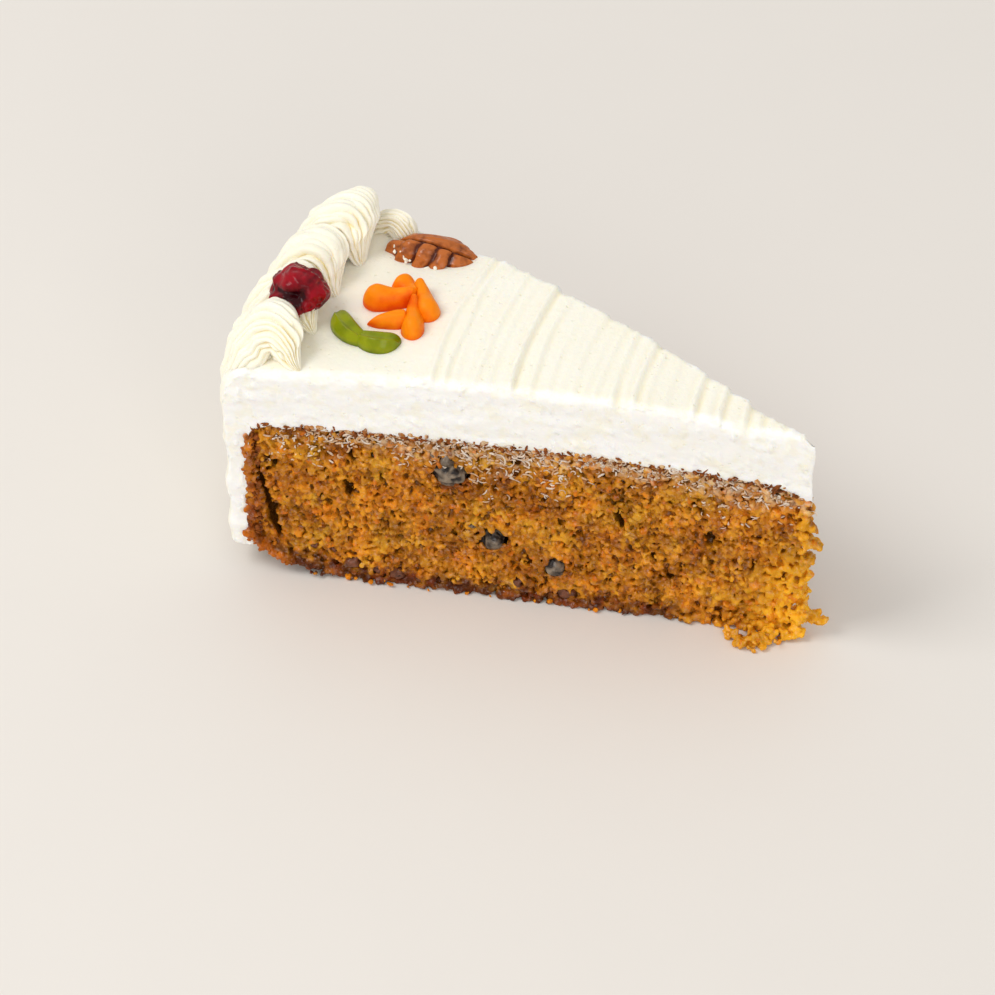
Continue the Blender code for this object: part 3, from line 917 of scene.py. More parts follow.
def hem_grains(crumb, rng):
    """Small grains that hang on along the lower outer edge of both cuts."""
    for grain in range(HEM_GRAINS):
        side = -1 if grain % 5 < 4 else 1
        radius = 106 + (SPONGE_RADIUS - 105.0) * rng.beta(1.5, 1.0)
        height = float(sponge_base(min(radius, SPONGE_RADIUS))) + rng.normal(0.1, 0.6)
        spot = under_cut(side, radius, max(height, 0.4), rng.normal(0.1, 0.55))
        crumb.grain(spot, rng.uniform(0.25, 0.62, 3), rng)
    for _ in range(WALL_GRAINS):
        height = rng.uniform(8, 40)
        spot = under_cut(-1, SPONGE_RADIUS + rng.normal(-0.6, 0.4), height, rng.uniform(-0.2, 0.5))
        crumb.grain(spot, rng.uniform(0.3, 0.7, 3), rng)


def cut_turn(side, rng):
    """Rotation that lays an ellipsoid's second axis square to a cut, rolled at random."""
    square = Matrix.Rotation(-side * HALF_ANGLE, 3, "Z")
    return np.array((square @ Matrix.Rotation(rng.uniform(-1.2, 1.2), 3, "Y")).transposed())


def sponge_looks(mesh, owners, tones, shreds):
    """Numbers for the crumb's material: what tints each point, and how strongly, from 0 to 1."""
    points = coordinates(mesh)
    radius, front, rear = cut_depths(points[:, 0], points[:, 1])
    height = points[:, 2]
    depth = np.minimum(front, rear)
    from_wall = SPONGE_RADIUS - radius
    below = sponge_top(np.minimum(radius, SPONGE_RADIUS)) - height
    above = height - sponge_base(radius)

    # Light and dark, and olive or brown, from grain to grain and in soft patches.
    patch = clouds(points, 6.0, 21)
    point_attribute(mesh, "tone", np.clip(tones[owners] + 0.30 * patch, 0, 1))
    hues = 0.5 + 0.50 * cloud(points, 4.5, 27) + 0.25 * cloud(points, 2.0, 28)
    hues += 0.22 * (tones[owners] * 7 % 1 - 0.5)
    point_attribute(mesh, "hue", np.clip(hues, 0, 1))

    # Carrot: single grains, the lower outer edge and patches beside the wall.
    rim = smooth((radius - 113) / 5) * smooth((2.6 - above + cloud(points, 1.5, 20)) / 1.6)
    warm = 0.6 * smooth((4.0 - from_wall) / 2.0) * smooth(0.6 + cloud(points, 2.4, 15))
    point_attribute(mesh, "shred", np.maximum.reduce((shreds[owners] * 0.75, 0.75 * rim, warm)))

    # Crust: under the frosting, beside the wall and along the base; painted shade round the nuts.
    ragged = 0.8 * cloud(points, 1.6, 22)
    over_floor = smooth((radius - 20) / 14) * (depth > -1.4)
    burnt = smooth((5.4 - above + 2.8 * ragged) / 3.6) * over_floor
    walled = smooth((4.6 - from_wall + 2.2 * ragged) / 3.0)
    crust = np.maximum.reduce((
        smooth((1.5 - below + ragged) / 1.2) * (0.55 + 0.5 * cloud(points, 3.0, 23)),
        walled * np.clip(0.44 + 0.5 * cloud(points, 1.8, 18), 0, 1),
        burnt * (0.92 + 0.40 * cloud(points, 2.2, 24)) * (1 - 0.7 * rim),
        # Painted shade round the nut pieces.
        0.75 * painted_shade_round_nuts(points),
        0.9 * (depth > 5),
    ))
    point_attribute(mesh, "crust", np.clip(crust, 0, 1))

    # Frosting dragged down from the top in streaks; painted shade in the pores, and dark patches of crust
    # along the base; a painted glow at the tip, of light through the thin loose crumb.
    band = 8 + 3.5 * cloud(points, 9.0, 25) - 5 * smooth((radius - 90) / 20)
    streak = smooth((0.34 - np.abs(cloud(points, (1.7, 1.7, 0.9), 26))) / 0.2)
    smear = smooth((band - below) / 6) * (0.07 + 0.48 * streak) * smooth((0.9 - depth) / 0.5)
    point_attribute(mesh, "smear", np.clip(smear, 0, 1))
    # Painted shade in the pores, darker the deeper they lie under the cut; dark patches of crust along the
    # base.
    pit = 0.9 * smooth((depth - 0.65) / 1.2) * (depth < 5)
    pit = np.maximum(pit, 0.62 * burnt * (1 - rim) * smooth((cloud(points, 2.0, 19) + 0.35) / 0.5))
    point_attribute(mesh, "pit", pit)
    # Painted glow of light through the thin crumb, strongest at the lower tip and on the loose heaps beside
    # it; less in the pores.
    gold = painted_glow_share(radius, height) * (0.80 + 0.3 * patch) * (1 - 0.6 * smooth(depth - 0.4))
    gold = np.maximum(gold, 0.5 * smooth((-0.2 - depth) / 0.8) * smooth((34 - radius) / 8))
    point_attribute(mesh, "gold", np.clip(gold, 0, 1))


def painted_shade_round_nuts(points):
    """How close points lie to a nut piece, where the crumb round it is darkened with painted shade, from 0
    to 1.
    """
    close = np.zeros(len(points))
    for node in NUT_NODES:
        middle, half = middle_and_half(node)
        far = np.linalg.norm((points - middle) / (half + (1.3, 3.0, 1.3)), axis=1)
        close = np.maximum(close, smooth((1.25 - far) / 0.45))
    return close * np.clip(0.6 + 0.5 * cloud(points, 1.6, 29), 0, 1)


def painted_glow_share(radius, height):
    """How strongly the painted glow of light through the thin crumb shows: more towards the lower tip, from
    0 to 1.
    """
    return smooth((19 - radius - 0.25 * height) / 11) * smooth((31 - height) / 10)


def crumb_skin(crumb):
    """The whole torn skin as one piece, with its grain numbers and how far each point is wrinkled."""
    places, faces, owners = crumb.skin()
    piece = joined("crumb_skin", places.tolist(), faces)
    mesh = piece.data
    mesh.attributes.new("grain", "INT", "POINT").data.foreach_set("value", owners.astype(np.int32))
    outward = np.zeros(3 * len(mesh.vertices), np.float32)
    mesh.vertex_normals.foreach_get("vector", outward)
    wrinkle = 0.26 * cloud(places, 0.95, 17) + 0.14 * cloud(places, 0.55, 16)
    lift = (outward.reshape(-1, 3) * wrinkle[:, None]).astype(np.float32)
    mesh.attributes.new("lift", "FLOAT_VECTOR", "POINT").data.foreach_set("vector", lift.ravel())
    return piece


def slab_of(name, skin, side, slab, stretch):
    """One cut's crumb over a stretch of radii, as deep as the slab, closed where it was sliced."""
    piece = bpy.data.objects.new(name, skin.data.copy())
    piece.data.name = name
    bpy.context.collection.objects.link(piece)
    outward = Vector((SIN_HALF, side * COS_HALF, 0))
    along = Vector((-COS_HALF, side * SIN_HALF, 0))
    slices = [(under_cut(side, 60.0, 0.0, slab), outward), ((TIP_X, TIP_Y, 0), Vector((0, side, 0)))]
    for radius, keep in zip(stretch, (along, -along)):
        if radius is not None:
            slices.append((under_cut(side, radius, 0.0, 0.0), keep))
    choose(piece)
    bpy.ops.object.mode_set(mode="EDIT")
    for point, normal in slices:
        bpy.ops.mesh.select_all(action="SELECT")
        bpy.ops.mesh.bisect(
            plane_co=point, plane_no=normal, use_fill=True, clear_inner=True, threshold=WELD
        )
    bpy.ops.object.mode_set(mode="OBJECT")
    points = coordinates(piece.data)
    lift = np.zeros(3 * len(points), np.float32)
    piece.data.attributes["lift"].data.foreach_get("vector", lift)
    moved = points + lift.reshape(-1, 3)
    moved[:, 2] = np.maximum(moved[:, 2], np.minimum(points[:, 2], 0.0))
    set_coordinates(piece.data, moved)
    return piece


def around(v, steps_up, steps_across, softness=0.0):
    """The side of a four-sided tube that each column lies on, and how far up and across it is.

    The sides are the front cut going up, the top, the back cut going down and the underside.
    Softness draws the columns towards the corners.
    """
    columns = 2 * (steps_up + steps_across)
    column = np.round(v * columns).astype(int) % columns
    starts = np.array((0, steps_up, steps_up + steps_across, 2 * steps_up + steps_across))
    spans = np.array((steps_up, steps_across, steps_up, steps_across))
    side = np.searchsorted(starts, column, side="right") - 1
    share = (column - starts[side]) / spans[side]
    share = (1 - softness) * share + softness * smooth(share)
    sides = (side == 0, side == 1, side == 2)
    up = np.select(sides, (share, 1.0, 1 - share), 0.0)
    return side, up, np.select(sides, (0.0, share, 1.0), 1 - share)


def core_shape(inset, steps_up, steps_across):
    """The surface of the sponge between the two slabs of crumb, for draped_grid."""
    start = inset / SIN_HALF + 0.05
    end_cap = 0.03

    def shape(u, v):
        _, up, across = around(v, steps_up, steps_across)
        radius = start + (SPONGE_RADIUS - start) * np.clip(u / (1 - end_cap), 0, 1)
        turn = np.arcsin(np.minimum(inset / radius, SIN_HALF))
        low = -HALF_ANGLE + turn
        high = np.maximum(back_angle(radius) - turn, low)
        base, top = sponge_base(radius), sponge_top(radius)
        up = 0.5 + (up - 0.5) * np.clip((1 - u) / end_cap, 0, 1)
        return at(radius, low + (high - low) * across, base + (top - base) * up)

    return 2 * (steps_up + steps_across), shape


class CAKE_OT_sponge(bpy.types.Operator):
    """Torn crumb of both cuts, and the plain sponge between them"""

    bl_idname = "cake.sponge"
    bl_label = "Sponge"

    def execute(self, context):
        chosen = settings("cake_sponge")
        rng = np.random.default_rng(7)
        crumb = Crumb(mm(chosen.voxel))
        grow_grains(crumb, mm(chosen.grain), rng)
        for work in (carve, rim_grains, hem_grains, heap_grains):
            work(crumb, rng)
        tones = np.clip(rng.normal(0.62, 0.18, crumb.grains), 0, 1)
        shreds = (rng.random(crumb.grains) < 0.07) * rng.uniform(0.5, 1.0, crumb.grains)
        skin = crumb_skin(crumb)
        material = crumb_material(chosen)
        for name, side, *stretch in CRUMB_PIECES:
            piece = slab_of(name, skin, side, mm(chosen.slab), stretch)
            owners = np.zeros(len(piece.data.vertices), np.int32)
            piece.data.attributes["grain"].data.foreach_get("value", owners)
            sponge_looks(piece.data, owners, tones, shreds)
            finished(piece, "sponge", material)
        bpy.data.objects.remove(skin)
        columns, shape = core_shape(mm(chosen.slab) - CORE_LAP, CORE_STEPS_UP, CORE_STEPS_ACROSS)
        core = draped_grid("sponge_core", CORE_ROWS, columns, shape)
        owners = rng.integers(1, crumb.grains, len(core.data.vertices))
        sponge_looks(core.data, owners, tones, shreds)
        finished(core, "sponge", material, "sponge")
        return {"FINISHED"}


# ---------------------------------------------------------------- frosting

# Stations along the frosting where its top ends and where its outer corner ends.
TOP_END, CORNER_END = 0.72, 0.80

# How far the frosting's underside sinks into the sponge, and how it rounds off at the tip.
LAP = 0.9
NOSE_LENGTH = 5.5
NOSE_DROP = 3.0

# Shares of the grid's rows that close the frosting at the tip and at the foot.
NOSE_ROWS, FOOT_ROWS = 0.02, 0.01

# Width of the soft upright flutes on the outer side.
FLUTE_WIDTH = 2.6


def frosting_path(station):
    """Inner and outer (radius, height) of the frosting at a station from 0, tip, to 1, foot."""
    edge = CAKE_RADIUS - FROSTING_CORNER
    crest = float(outline(FROSTING_TOP, edge)) - FROSTING_CORNER
    on_top = np.clip(station / TOP_END, 0, 1)
    turn = np.clip((station - TOP_END) / (CORNER_END - TOP_END), 0, 1) * math.pi / 2
    down = np.clip((station - CORNER_END) / (1 - CORNER_END), 0, 1)
    outer_r = TIP_RADIUS + (edge - TIP_RADIUS) * on_top + FROSTING_CORNER * np.sin(turn)
    outer_z = np.where(
        station <= TOP_END,
        outline(FROSTING_TOP, TIP_RADIUS + (edge - TIP_RADIUS) * on_top),
        crest + FROSTING_CORNER * np.cos(turn) - (crest - FOOT) * down,
    )
    roll = 1 - np.clip((outer_r - 0.8) / NOSE_LENGTH, 0, 1)
    outer_z = outer_z - NOSE_DROP * (1 - np.sqrt(1 - roll**2))
    inner_edge = SPONGE_RADIUS - SPONGE_CORNER
    inner_crest = float(outline(SPONGE_TOP, inner_edge)) - SPONGE_CORNER
    inner_corner = SPONGE_CORNER - LAP
    inner_r = TIP_RADIUS + (inner_edge - TIP_RADIUS) * on_top + inner_corner * np.sin(turn)
    inner_z = np.where(
        station <= TOP_END,
        outline(SPONGE_TOP, TIP_RADIUS + (inner_edge - TIP_RADIUS) * on_top) - LAP,
        inner_crest + inner_corner * np.cos(turn) - (inner_crest - FOOT) * down,
    )
    return inner_r, inner_z, outer_r, outer_z


def ridge_height(points):
    """Height that the palette knife's ridges add at points of the top."""
    centre = np.array((TIP_X + RIDGE_CENTRE * COS_HALF, TIP_Y + RIDGE_CENTRE * SIN_HALF))
    far = np.hypot(*(points[:, :2] - centre).T) - RIDGE_CENTRE
    along = np.column_stack((points[:, 1], points[:, 1] * 0, points[:, 1] * 0))
    height = 0.10 * cloud(points * (1, 0.25, 0) + 50, 2.4, 31)
    for number, (distance, crest) in enumerate(RIDGES):
        offset = far - distance + 0.5 * cloud(along + 13 * number, 14.0, 32)
        strength = crest * (1 + 0.45 * cloud(along + 29 * number, 11.0, 33))
        height += strength * (
            np.exp(-((offset / 0.5) ** 2))
            + 0.30 * np.exp(-(((offset - 1.2) / 1.3) ** 2))
            - 0.40 * np.exp(-(((offset + 1.2) / 0.9) ** 2))
        )
    return height


def frosting_shape(edge_radius, steps_through, steps_across):
    """The surface of the frosting, for draped_grid."""

    def shape(u, v):
        path = np.clip((u - NOSE_ROWS) / (1 - NOSE_ROWS - FOOT_ROWS), 0, 1)
        inner_r, inner_z, outer_r, outer_z = frosting_path(path)
        nose, foot = np.clip(u / NOSE_ROWS, 0, 1), np.clip((1 - u) / FOOT_ROWS, 0, 1)
        side, through, across = around(v, steps_through, steps_across, 0.5)
        thick = np.hypot(outer_r - inner_r, outer_z - inner_z)
        width = outer_r * (HALF_ANGLE + back_angle(outer_r))

        # Round the edges between the skin and the cuts, unevenly.
        wander = 1 + 0.3 * np.sin(outer_r * 0.71) * np.sin(outer_r * 0.23 + 1)
        bevel = np.minimum(edge_radius * wander, width * 0.45)
        up, from_cut = (1 - through) * thick, np.minimum(across, 1 - across) * width
        on_face = (side % 2 == 0) & (up < bevel)
        rounded = on_face | ((side == 1) & (from_cut < bevel))
        arc = np.where(on_face, 1 - up / bevel, 1 + from_cut / bevel) * math.pi / 4
        up = np.where(rounded, bevel - bevel * np.sin(arc), up)
        from_cut = np.where(rounded, bevel - bevel * np.cos(arc), from_cut)
        through = 1 - up / thick
        offset = np.where(across > 0.5, width - from_cut, from_cut)
        offset = width / 2 + (offset - width / 2) * np.sqrt(1 - (1 - nose) ** 2)
        through = 0.5 + (through - 0.5) * np.sqrt(foot)
        radius = inner_r + (outer_r - inner_r) * through - 0.7 * (1 - nose)
        height = inner_z + (outer_z - inner_z) * through
        angle = -HALF_ANGLE + offset / outer_r
        points = at(radius, angle, height)
        points[:, 2] += 0.7 * smooth(1 - through / 0.12) * cloud(points, 2.6, 30)

        # The top: the palette knife's ridges, the dent and a slow swell.
        on_top = smooth((through - 0.5) / 0.5) * smooth((outer_z - 52) / 5)
        turn = offset / width
        dent = DENT_DEPTH * np.exp(-(((outer_r - DENT_RADIUS) / DENT_LENGTH) ** 2))
        dent = dent * smooth((turn - 0.55) / 0.45)
        points[:, 2] += on_top * (ridge_height(points) - dent + 0.25 * cloud(points, 16.0, 34))

        # The cuts: pressed in a little, with the knife's drag and torn air holes.
        inward = smooth(1 - from_cut / 1.5) * smooth(through / 0.15)
        knife = 0.20 * clouds(points, (6.0, 6.0, 3.0), 35) + 0.04 * cloud(points, (9.0, 9.0, 0.9), 36)
        knife += 0.07 * clouds(points, 1.8, 39) - 0.40 * smooth((-cloud(points, 1.0, 40) - 0.48) / 0.25)
        points[:, 1] += np.where(turn < 0.5, 1.0, -1.0) * inward * (0.12 + knife) * nose

        # The outer side: soft upright flutes.
        wall = smooth((58 - height) / 8) * smooth(through / 0.5)
        flutes = 0.42 * np.cos(offset * 2 * math.pi / FLUTE_WIDTH + 3 * cloud(points, 11.0, 37))
        flutes = flutes * smooth((height - 8) / 34) * (1 + 0.6 * cloud(points, 6.0, 49))
        push = wall * (flutes + 0.65 * clouds(points, 6.0, 38))
        points[:, :2] += np.column_stack((-np.cos(angle), np.sin(angle))) * push[:, None]
        return points

    return 2 * (steps_through + steps_across), shape


class CAKE_OT_frosting(bpy.types.Operator):
    """Spread frosting over the top and down the outer side"""

    bl_idname = "cake.frosting"
    bl_label = "Frosting"

    def execute(self, context):
        chosen = settings("cake_frosting")
        columns, shape = frosting_shape(mm(chosen.edge), chosen.through, chosen.across)
        piece = draped_grid("frosting_spread", chosen.stations, columns, shape)
        points = coordinates(piece.data)
        _, front, rear = cut_depths(points[:, 0], points[:, 1])
        # Painted shade in the hollows of the top and the wall, which are also a little warmer than the
        # cuts; soft blotches on the cuts.
        under = smooth((np.minimum(front, rear) - 0.1 + 0.7 * clouds(points, 3.0, 48)) / 2.2)
        blotch = 0.15 * smooth((clouds(points, 2.0, 47) - 0.15) / 0.4)
        crease = under * (0.24 + 0.6 * hollows(piece.data, 3)) + (1 - under) * blotch
        point_attribute(piece.data, "crease", crease)
        material = cream_material(
            "spread_cream_cheese_frosting", chosen.cut_cream, chosen.crease, pore_size=2.2, pore_depth=0.35
        )
        finished(piece, "frosting", material, "frosting")
        return {"FINISHED"}


# ---------------------------------------------------------------- swirls

# Piped loops: (middle across the slice, half width, lift of the loop, turn of the star tip, shift
# of the run outwards, stoutness). The last is the border's tail, which has no node of its own.
SWIRLS = (
    (-20.2, 6.7, 0.0, 0.2, 0.0, 1.0),
    (-8.2, 6.4, 0.2, 0.9, 0.0, 1.0),
    (4.6, 6.6, 0.8, 0.5, 0.0, 1.0),
    (17.4, 7.4, 1.8, 1.3, 0.0, 1.0),
    (23.8, 3.1, -2.9, 0.4, -6.2, 0.46),
)
SWIRL_NODES = ("swirl_1", "swirl_2", "swirl_3", "swirl_4")
SWIRL_HALF_THICKNESS = 5.0
SWIRL_GRID = (110, 310)

# The star tip's flutes and the finer ones between them, as (how many, height).
SWIRL_FLUTES = ((12, 0.58), (21, 0.60))

# The run of a loop from its tail up over the rim: share of the way, radius, height, shift across,
# shares of the full width and thickness, and how strongly the star tip's flutes show.
SWIRL_RUN = (
    (0.00, 112.4, 58.6, -7.6, 0.08, 0.10, 0.2),
    (0.10, 114.0, 59.4, -6.0, 0.34, 0.34, 0.8),
    (0.22, 115.8, 60.6, -3.6, 0.64, 0.66, 1.25),
    (0.34, 117.6, 62.2, -1.4, 0.88, 0.92, 1.4),
    (0.46, 120.0, 63.2, 0.0, 1.00, 1.00, 1.3),
    (0.58, 122.8, 61.6, -1.4, 1.08, 1.00, 1.1),
    (0.72, 125.8, 57.0, -3.2, 1.14, 0.86, 1.1),
    (0.86, 128.2, 49.8, -4.4, 1.14, 0.64, 1.0),
    (1.00, 129.8, 40.5, -4.8, 0.95, 0.24, 0.6),
)


def swirl_shape(number, middle, half_width, lift, star_turn, shift, stoutness):
    """The surface of one piped loop, for draped_grid."""

    def along(u, column):
        return outline([(row[0], row[column]) for row in SWIRL_RUN], u)

    def shape(u, v):
        radius, height = along(u, 1) + shift, along(u, 2) + lift * smooth(u / 0.3)
        step = 1e-3
        way_r = along(u + step, 1) - along(u - step, 1)
        way_z = along(u + step, 2) - along(u - step, 2)
        reach = np.hypot(way_r, way_z)
        out_r, out_z = -way_z / reach, way_r / reach
        ends = np.clip(np.minimum(u / 0.05, (1 - u) / 0.10), 0, 1)
        closing = np.sqrt(1 - (1 - ends) ** 2)
        wide = half_width * along(u, 4) * closing
        thick = SWIRL_HALF_THICKNESS * stoutness * along(u, 5) * closing
        a = 2 * math.pi * v
        round_seed = np.column_stack((np.cos(a) * 3, np.sin(a) * 3, u * 26 + 40 * number))
        flute = 0.0
        for layer, (flutes, crest) in enumerate(SWIRL_FLUTES):
            swing = a + 0.16 * np.sin(2 * a + number + layer) + 0.12 * cloud(round_seed, 2.4, 44 + layer)
            swing = swing * flutes / 2 + star_turn * math.pi + (0.9 + 0.6 * layer) * (u - 0.4)
            uneven = 1 + 0.9 * cloud(round_seed, (1.3, 1.3, 8.0), 41 + number + 10 * layer)
            flute += crest * (np.abs(np.sin(swing)) ** 0.75 - 0.62) * np.clip(uneven, 0.15, 2.0)
        flute = flute * along(u, 6) * closing
        swell = 1 + 0.13 * cloud(round_seed, (2.2, 2.2, 3.2), 46 + number)
        lean = np.hypot(np.cos(a) / np.maximum(thick, 0.2), np.sin(a) / np.maximum(wide, 0.2))
        ripple = 0.7 * cloud(round_seed, (2.6, 2.6, 1.5), 56 + number) * smooth((u - 0.4) / 0.2) * closing
        outward = thick * swell * np.cos(a) + ripple + flute * np.cos(a) / np.maximum(thick, 0.2) / lean
        sideways = wide * swell * np.sin(a) + flute * np.sin(a) / np.maximum(wide, 0.2) / lean
        across = middle + along(u, 3) * half_width / SWIRLS[0][1] + sideways
        back = np.sqrt((radius + out_r * outward) ** 2 - across**2)
        return trimmed(np.column_stack((TIP_X - back, TIP_Y + across, height + out_z * outward)))

    return shape


def trimmed(points):
    """Points pressed back to within the two cuts, softly, as a knife leaves cream."""
    _, front, rear = cut_depths(points[:, 0], points[:, 1])
    soft = 0.8
    for depth, side in ((front, 1.0), (rear, -1.0)):
        wanted = soft * np.logaddexp(0, (depth - 0.1) / soft)
        points[:, 1] += side * (wanted - depth) / COS_HALF
    return points


class CAKE_OT_swirls(bpy.types.Operator):
    """Piped loops along the rim, from a star tip"""

    bl_idname = "cake.swirls"
    bl_label = "Swirls"

    def execute(self, context):
        chosen = settings("cake_frosting")
        material = cream_material(
            "piped_cream_cheese_frosting", chosen.cream, chosen.crease, pore_size=1.6, pore_depth=0.15
        )
        for number, sizes in enumerate(SWIRLS, start=1):
            piece = draped_grid(f"piped_swirl_{number}", *SWIRL_GRID, swirl_shape(number, *sizes))
            roughen(piece, "cream", 1.6, 0.12)
            # Painted shade: the flutes' hollows are tinted towards the deep cream colour.
            point_attribute(piece.data, "crease", 0.75 * hollows(piece.data, 4) + 0.05)
            finished(piece, "frosting", material, *SWIRL_NODES[number - 1:number])
        return {"FINISHED"}


# ---------------------------------------------------------------- toppings

# The berry's middle as (back from the tip, across, height), its half size, and the share of that
# at which its skin lies between the folds.
BERRY = (117.5, -11.0, 65.7)
BERRY_SIZE = (6.5, 6.4, 5.2)
BERRY_SHARE = 0.89

# Knobs of the berry and the hollow at its calyx, as (direction, width, height).
CALYX = (0.30, -0.72, 0.50)
BERRY_KNOBS = (
    ((0.25, -0.25, 0.95), 0.30, 0.12), (CALYX, 0.30, -0.34),
    ((0.62, -0.60, 0.50), 0.22, 0.10), ((-0.25, -0.75, 0.60), 0.25, 0.08),
)

# Painted light and shade on the berry: painted shade in the hollow at its calyx, painted light on two
# sides, as (direction, width, how much darker).
BERRY_PAINTED_LIGHT_AND_SHADE = (
    (CALYX, 0.40, 0.30), ((-0.62, -0.25, 0.74), 0.50, -0.22), ((0.85, -0.30, 0.40), 0.45, -0.22),
)

# The pecan's middle, its half size and how it lies; its cross creases as (place along it, width).
PECAN = (99.6, 18.4, 58.9)
PECAN_SIZE = (9.9, 5.2, 4.2)
PECAN_TURN = math.radians(12)
PECAN_TILT = math.radians(20)
PECAN_CREASES = ((-0.36, 0.055), (0.10, 0.065), (0.52, 0.05))
CREASE_SLANT = 0.22

# Along a petal: (share of the way out, share of the full width, share of the full height).
PETAL_BLUNT = (
    (0.0, 0.42, 0.98), (0.22, 0.68, 0.88), (0.45, 0.88, 0.80), (0.72, 1.0, 0.98), (1.0, 0.92, 0.92),
)
PETAL_POINTED = ((0.0, 0.90, 0.86), (0.3, 1.0, 0.82), (0.7, 0.66, 0.62), (1.0, 0.16, 0.30))

# Flower petals: (inner end, outer end, half width, height, run), the ends as (back, across).
PETALS = (
    ((95.0, 0.9), (105.9, -3.7), 2.9, 5.0, PETAL_BLUNT),
    ((95.2, 1.0), (101.4, 4.6), 3.1, 4.4, PETAL_BLUNT),
    ((96.7, 5.2), (89.5, -4.0), 3.0, 4.6, PETAL_BLUNT),
    ((95.4, 0.4), (90.6, -10.8), 2.6, 4.4, PETAL_BLUNT),
    ((94.2, -5.4), (101.9, -9.9), 2.3, 3.9, PETAL_POINTED),
)
PETAL_BASE = 60.9
PETAL_GRID = (48, 56)
FLOWER_MIDDLE = (95.0, -2.0)

# Leaves: (back, across, direction in degrees, length, half width, bow, which end is blunt).
LEAVES = (
    (103.9, -13.2, -27.0, 12.8, 3.1, -1.5, -1),
    (97.9, -14.0, 6.0, 11.2, 3.3, -1.7, 1),
)
LEAF_BASE = 60.6
LEAF_RISE = 3.6
LEAF_GRID = (48, 64)

# The nut pieces' middle lies this far behind their front; half their depth; how dark each is.
NUT_SINK = 2.4
NUT_HALF_DEPTH = 3.0
NUT_SHADES = (-0.06, 0.10, 0.0)


def ball(name, detail):
    """A ball of even faces to be shaped, with its unit directions."""
    piece = added(bpy.ops.mesh.primitive_ico_sphere_add, name, subdivisions=detail, radius=1)
    return piece, coordinates(piece.data)


def bumps(directions, spots):
    """Soft bumps on a ball, each given as (direction, width, height)."""
    total = 0
    for spot, width, height in spots:
        spot = np.array(spot) / np.linalg.norm(spot)
        total = total + height * np.exp(-np.sum((directions - spot) ** 2, axis=1) / width**2)
    return total


class CAKE_OT_berry(bpy.types.Operator):
    """Dried berry, puckered and glossy"""

    bl_idname = "cake.berry"
    bl_label = "Berry"

    def execute(self, context):
        chosen = settings("cake_toppings")
        piece, way = ball("dried_red_berry", 6)
        warped = way + 0.22 * np.column_stack([cloud(way, 0.9, 50 + k) for k in range(3)])
        folds = 1 - np.abs(cloud(warped, 0.62, 53)) * 2.2
        fine = 1 - np.abs(cloud(warped, 0.27, 54)) * 2.0
        turn = np.arctan2(way @ np.array((-0.29, 0.63, 0.72)), way @ np.array((0.91, 0.41, 0.0)))
        side_on = 1 - np.clip(way @ np.array((0.30, -0.66, 0.69)), 0, 1) ** 2
        girth = 1 + 0.06 * cloud(way, 1.2, 55) + 0.12 * folds + 0.06 * fine
        girth += 0.05 * np.cos(7 * turn + 0.6) * side_on + bumps(way, BERRY_KNOBS)
        points = way * girth[:, None] * np.array(BERRY_SIZE) * BERRY_SHARE
        set_coordinates(piece.data, points + np.array(on_slice(*BERRY)))
        # Painted shade in the folds and the calyx hollow, painted light on two sides.
        crease = 0.5 * hollows(piece.data, 6) + bumps(way, BERRY_PAINTED_LIGHT_AND_SHADE) + 0.02
        point_attribute(piece.data, "crease", crease)
        material = skin_material("puckered_dried_berry_skin", chosen.berry_deep, chosen.berry_light)
        finished(piece, "berry", material, "dried_berry")
        return {"FINISHED"}


class CAKE_OT_pecan(bpy.types.Operator):
    """Half a pecan, round side up"""

    bl_idname = "cake.pecan"
    bl_label = "Pecan"

    def execute(self, context):
        chosen = settings("cake_toppings")
        piece, way = ball("pecan_kernel", 6)
        x, y, up = way.T
        line = 0.22 - 0.28 * x + 0.04 * cloud(way, 0.4, 60)
        groove = np.exp(-(((y - line) / 0.075) ** 2))
        near = smooth((line - y) / 0.12)
        slanted = x - CREASE_SLANT * (y + 0.3)
        wavy = slanted + 0.05 * cloud(way, 0.5, 61)
        knuckle = near * sum(np.exp(-(((wavy - place) / width) ** 2)) for place, width in PECAN_CREASES)
        lobes = near * np.cos(2 * math.pi * (slanted + 0.14) / 0.46)
        grain = cloud(way, (0.5, 0.09, 0.3), 62)
        wrinkle = 1 - np.abs(cloud(way, (0.5, 0.3, 0.4), 64)) * 2
        relief = 1 - 0.22 * groove - 0.12 * knuckle + 0.05 * lobes
        relief += 0.05 * grain * (1 - near) + 0.05 * wrinkle * near
        relief = np.where(up > -0.1, relief, 1.0)
        length, half_width, rise = PECAN_SIZE
        taper = 1 - 0.12 * np.abs(x) ** 3
        points = np.column_stack((x * length, y * half_width * taper, up * rise)) * relief[:, None]
        set_coordinates(piece.data, points)
        turned = Matrix.Rotation(PECAN_TURN, 4, "Z") @ Matrix.Rotation(PECAN_TILT, 4, "X")
        piece.data.transform(Matrix.Translation(on_slice(*PECAN)) @ turned)
        # Darker in the groove and the creases, with painted shade in the hollows.
        crease = 0.18 * np.maximum(groove, knuckle) + 0.40 * hollows(piece.data, 5) - 0.10
        point_attribute(piece.data, "crease", crease)
        material = skin_material("oily_pecan_skin", chosen.pecan_deep, chosen.pecan_light)
        finished(piece, "pecan", material, "pecan_half")
        return {"FINISHED"}


